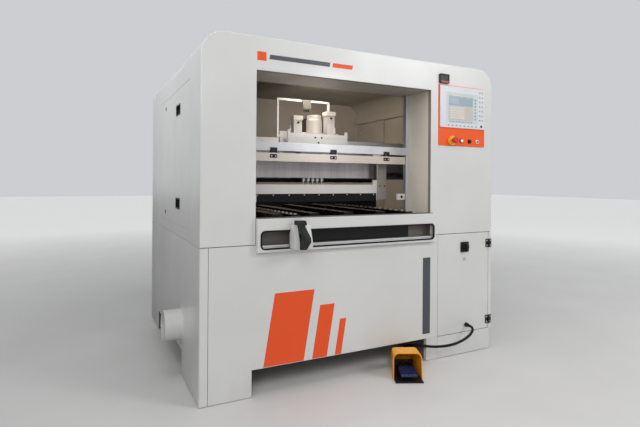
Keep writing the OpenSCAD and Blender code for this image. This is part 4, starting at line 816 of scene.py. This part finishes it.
CABLE_ROUTE = np.vstack([
    CABLE_START + CABLE_BOW, CABLE_END + CABLE_SLACK, CABLE_END + PEDAL_DIR * 14 + [0, 0, 1], CABLE_END])
CABLE_R = 8.0


def smooth_path(route, steps):
    """A Catmull-Rom curve through the route's points, with that many steps between two of them."""
    p = np.vstack([2 * route[0] - route[1], route, 2 * route[-1] - route[-2]])
    a, b, c, d = p[:-3, None], p[1:-2, None], p[2:-1, None], p[3:, None]
    t = np.linspace(0, 1, steps, endpoint=False)[None, :, None]
    curve = 0.5 * (2 * b + (c - a) * t + (2 * a - 5 * b + 4 * c - d) * t**2
                   + (3 * b - a - 3 * c + d) * t**3)
    return np.vstack([curve.reshape(-1, 3), route[-1]])


def tube(path, r, n=16):
    """A round section carried along a path: points and faces, closed at both ends."""
    way = np.gradient(path, axis=0)
    way /= np.linalg.norm(way, axis=1, keepdims=True)
    side = np.cross(way, (0, 0, 1.0))
    side /= np.linalg.norm(side, axis=1, keepdims=True)
    up = np.cross(side, way)
    a = np.linspace(0, 2 * np.pi, n, endpoint=False)[None, :, None]
    points = path[:, None] + r * (np.cos(a) * side[:, None] + np.sin(a) * up[:, None])
    return at(*points.reshape(-1, 3).T), ring_faces(len(path), n)


cable_path = smooth_path(CABLE_ROUTE, 8)
cable_points, cable_faces = tube(cable_path, CABLE_R)
cable_mesh = bpy.data.meshes.new("cable")
cable_mesh.from_pydata(cable_points.tolist(), [], cable_faces)
cable_mesh.materials.append(rubber)
shade_edges(cable_mesh)
cable = bpy.data.objects.new("cable", cable_mesh)
bpy.context.scene.collection.objects.link(cable)
at(*CABLE_ROUTE[0])
at(*CABLE_END)
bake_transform(cable)
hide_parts("pedal_cable")
at(*CABLE_ROUTE[0])
at(*cable_path.T)

# Stage: a plain pale floor under soft studio light, and the camera where the photograph's was.
# The floor glows far off to meet the sky. Mirrored rays find it dark from the machine's front to
# the back, as a workshop floor is, which shades the foot of the left side.
FLOOR_HALF = 30
floor_mesh = bpy.data.meshes.new("floor")
floor_corners = [(x * FLOOR_HALF, y * FLOOR_HALF, 0) for x, y in ((-1, -1), (1, -1), (1, 1), (-1, 1))]
floor_mesh.from_pydata(floor_corners, [], [(0, 1, 2, 3)])
floor = bpy.data.objects.new("floor", floor_mesh)
bpy.context.scene.collection.objects.link(floor)
floor_paint = paint("floor_paint", (214, 213, 211), (210, 209, 207), gloss=0.7, dust=0.0)
floor_mesh.materials.append(floor_paint)


def background_ray(tree):
    """1 for the rays that see the background: straight, mirrored or through glass."""
    path = add(tree, "ShaderNodeLightPath").outputs
    first = {0: path["Is Camera Ray"], 1: path["Is Glossy Ray"]}
    seen = add(tree, "ShaderNodeMath", first, operation="ADD").outputs[0]
    inputs = {0: seen, 1: path["Is Transmission Ray"]}
    return add(tree, "ShaderNodeMath", inputs, operation="ADD", use_clamp=True).outputs[0]


floor_tree = floor_paint.node_tree
floor_shader = floor_tree.nodes["Principled BSDF"]
floor_place = add(floor_tree, "ShaderNodeTexCoord").outputs["Object"]
floor_y = add(floor_tree, "ShaderNodeSeparateXYZ", {0: floor_place}).outputs[1]
mirrored_ray = add(floor_tree, "ShaderNodeLightPath").outputs["Is Glossy Ray"]
floor_dim = times(floor_tree, mirrored_ray, ramp(floor_tree, floor_y, -0.9, -0.1))
floor_color = floor_shader.inputs["Base Color"].links[0].from_socket
floor_seen = mix(floor_tree, floor_dim, floor_color, rgb(52, 53, 48))
floor_tree.links.new(floor_seen, floor_shader.inputs["Base Color"])
floor_far = add(floor_tree, "ShaderNodeVectorMath", {0: floor_place}, operation="LENGTH").outputs["Value"]
far_glow = ramp(floor_tree, floor_far, 2.0, 8.0, 0.0, 0.46)
floor_glow = times(floor_tree, background_ray(floor_tree), far_glow)
floor_lit = ramp(floor_tree, floor_dim, 0.0, 1.0, 1.0, 0.0)
floor_shader.inputs["Emission Color"].default_value = rgb(250, 250, 250)
floor_tree.links.new(times(floor_tree, floor_glow, floor_lit), floor_shader.inputs["Emission Strength"])

world = bpy.data.worlds.new("studio")
bpy.context.scene.world = world
world.use_nodes = True
world_tree = world.node_tree
sky = world_tree.nodes["Background"]
sky.inputs["Color"].default_value = rgb(236, 238, 242)
sky_strength = ramp(world_tree, background_ray(world_tree), 0.0, 1.0, 0.38, 0.72)
world_tree.links.new(sky_strength, sky.inputs["Strength"])


def lamp(name, place, target, size, power, color=(1, 1, 1), spread=180):
    """A square soft box at a place, turned towards a target, both in metres, with its power in
    watts and its spread in degrees."""
    light = bpy.data.lights.new(name, "AREA")
    light.size = size
    light.energy = power
    light.color = color
    light.spread = np.radians(spread)
    box = bpy.data.objects.new(name, light)
    bpy.context.scene.collection.objects.link(box)
    box.visible_camera = False
    away = np.asarray(place, float) - np.asarray(target, float)
    away /= np.linalg.norm(away)
    right = np.cross((0, 0, 1.0), away)
    right /= np.linalg.norm(right)
    turn = np.column_stack([right, np.cross(away, right), away])
    pose = np.eye(4)
    pose[:3, :3] = turn
    pose[:3, 3] = place
    box.matrix_world = Matrix(pose.tolist())


lamp("key_light", (-2.6, -5.0, 3.6), (0, -0.4, 1.0), 3.0, 100)
lamp("fill_light", (2.85, -4.2, 3.2), (0.2, -0.4, 0.9), 1.5, 78)
lamp("side_light", (-5.2, -0.6, 3.6), (-0.9, 0.1, 2.6), 2.5, 15, spread=42)
lamp("top_light", (0.0, -0.6, 5.0), (0, 0, 1.0), 3.5, 62)
lamp("front_work_light", at(760, 330, 1785), at(800, 430, 1300), 0.2, 3, (1, 0.97, 0.93), 120)
lamp("opening_light", at(560, -900, 1760), at(790, 330, 1400), 0.2, 0.3, (1, 0.98, 0.95), 26)
lamp("rear_work_light", at(960, 640, 1700), at(1720, 1560, 1400), 0.2, 7, (1, 0.95, 0.88), 120)

EYE = at(-505.49, -2296.11, 1113.0)
yaw, roll = np.radians(26.719), np.radians(0.4104)
forward = np.array([np.sin(yaw), np.cos(yaw), 0])
level = np.array([np.cos(yaw), -np.sin(yaw), 0])
up = np.array([0, 0, 1.0])
view = np.eye(4)
view[:3, 0] = np.cos(roll) * level + np.sin(roll) * up
view[:3, 1] = np.cos(roll) * up - np.sin(roll) * level
view[:3, 2] = -forward
view[:3, 3] = EYE
lens = bpy.data.cameras.new("camera")
lens.sensor_width = 36.0
lens.lens = 26.46
lens.shift_y = -0.0521
camera = bpy.data.objects.new("camera", lens)
bpy.context.scene.collection.objects.link(camera)
camera.matrix_world = Matrix(view.tolist())
bpy.context.scene.camera = camera
bpy.context.scene.view_settings.view_transform = "Standard"
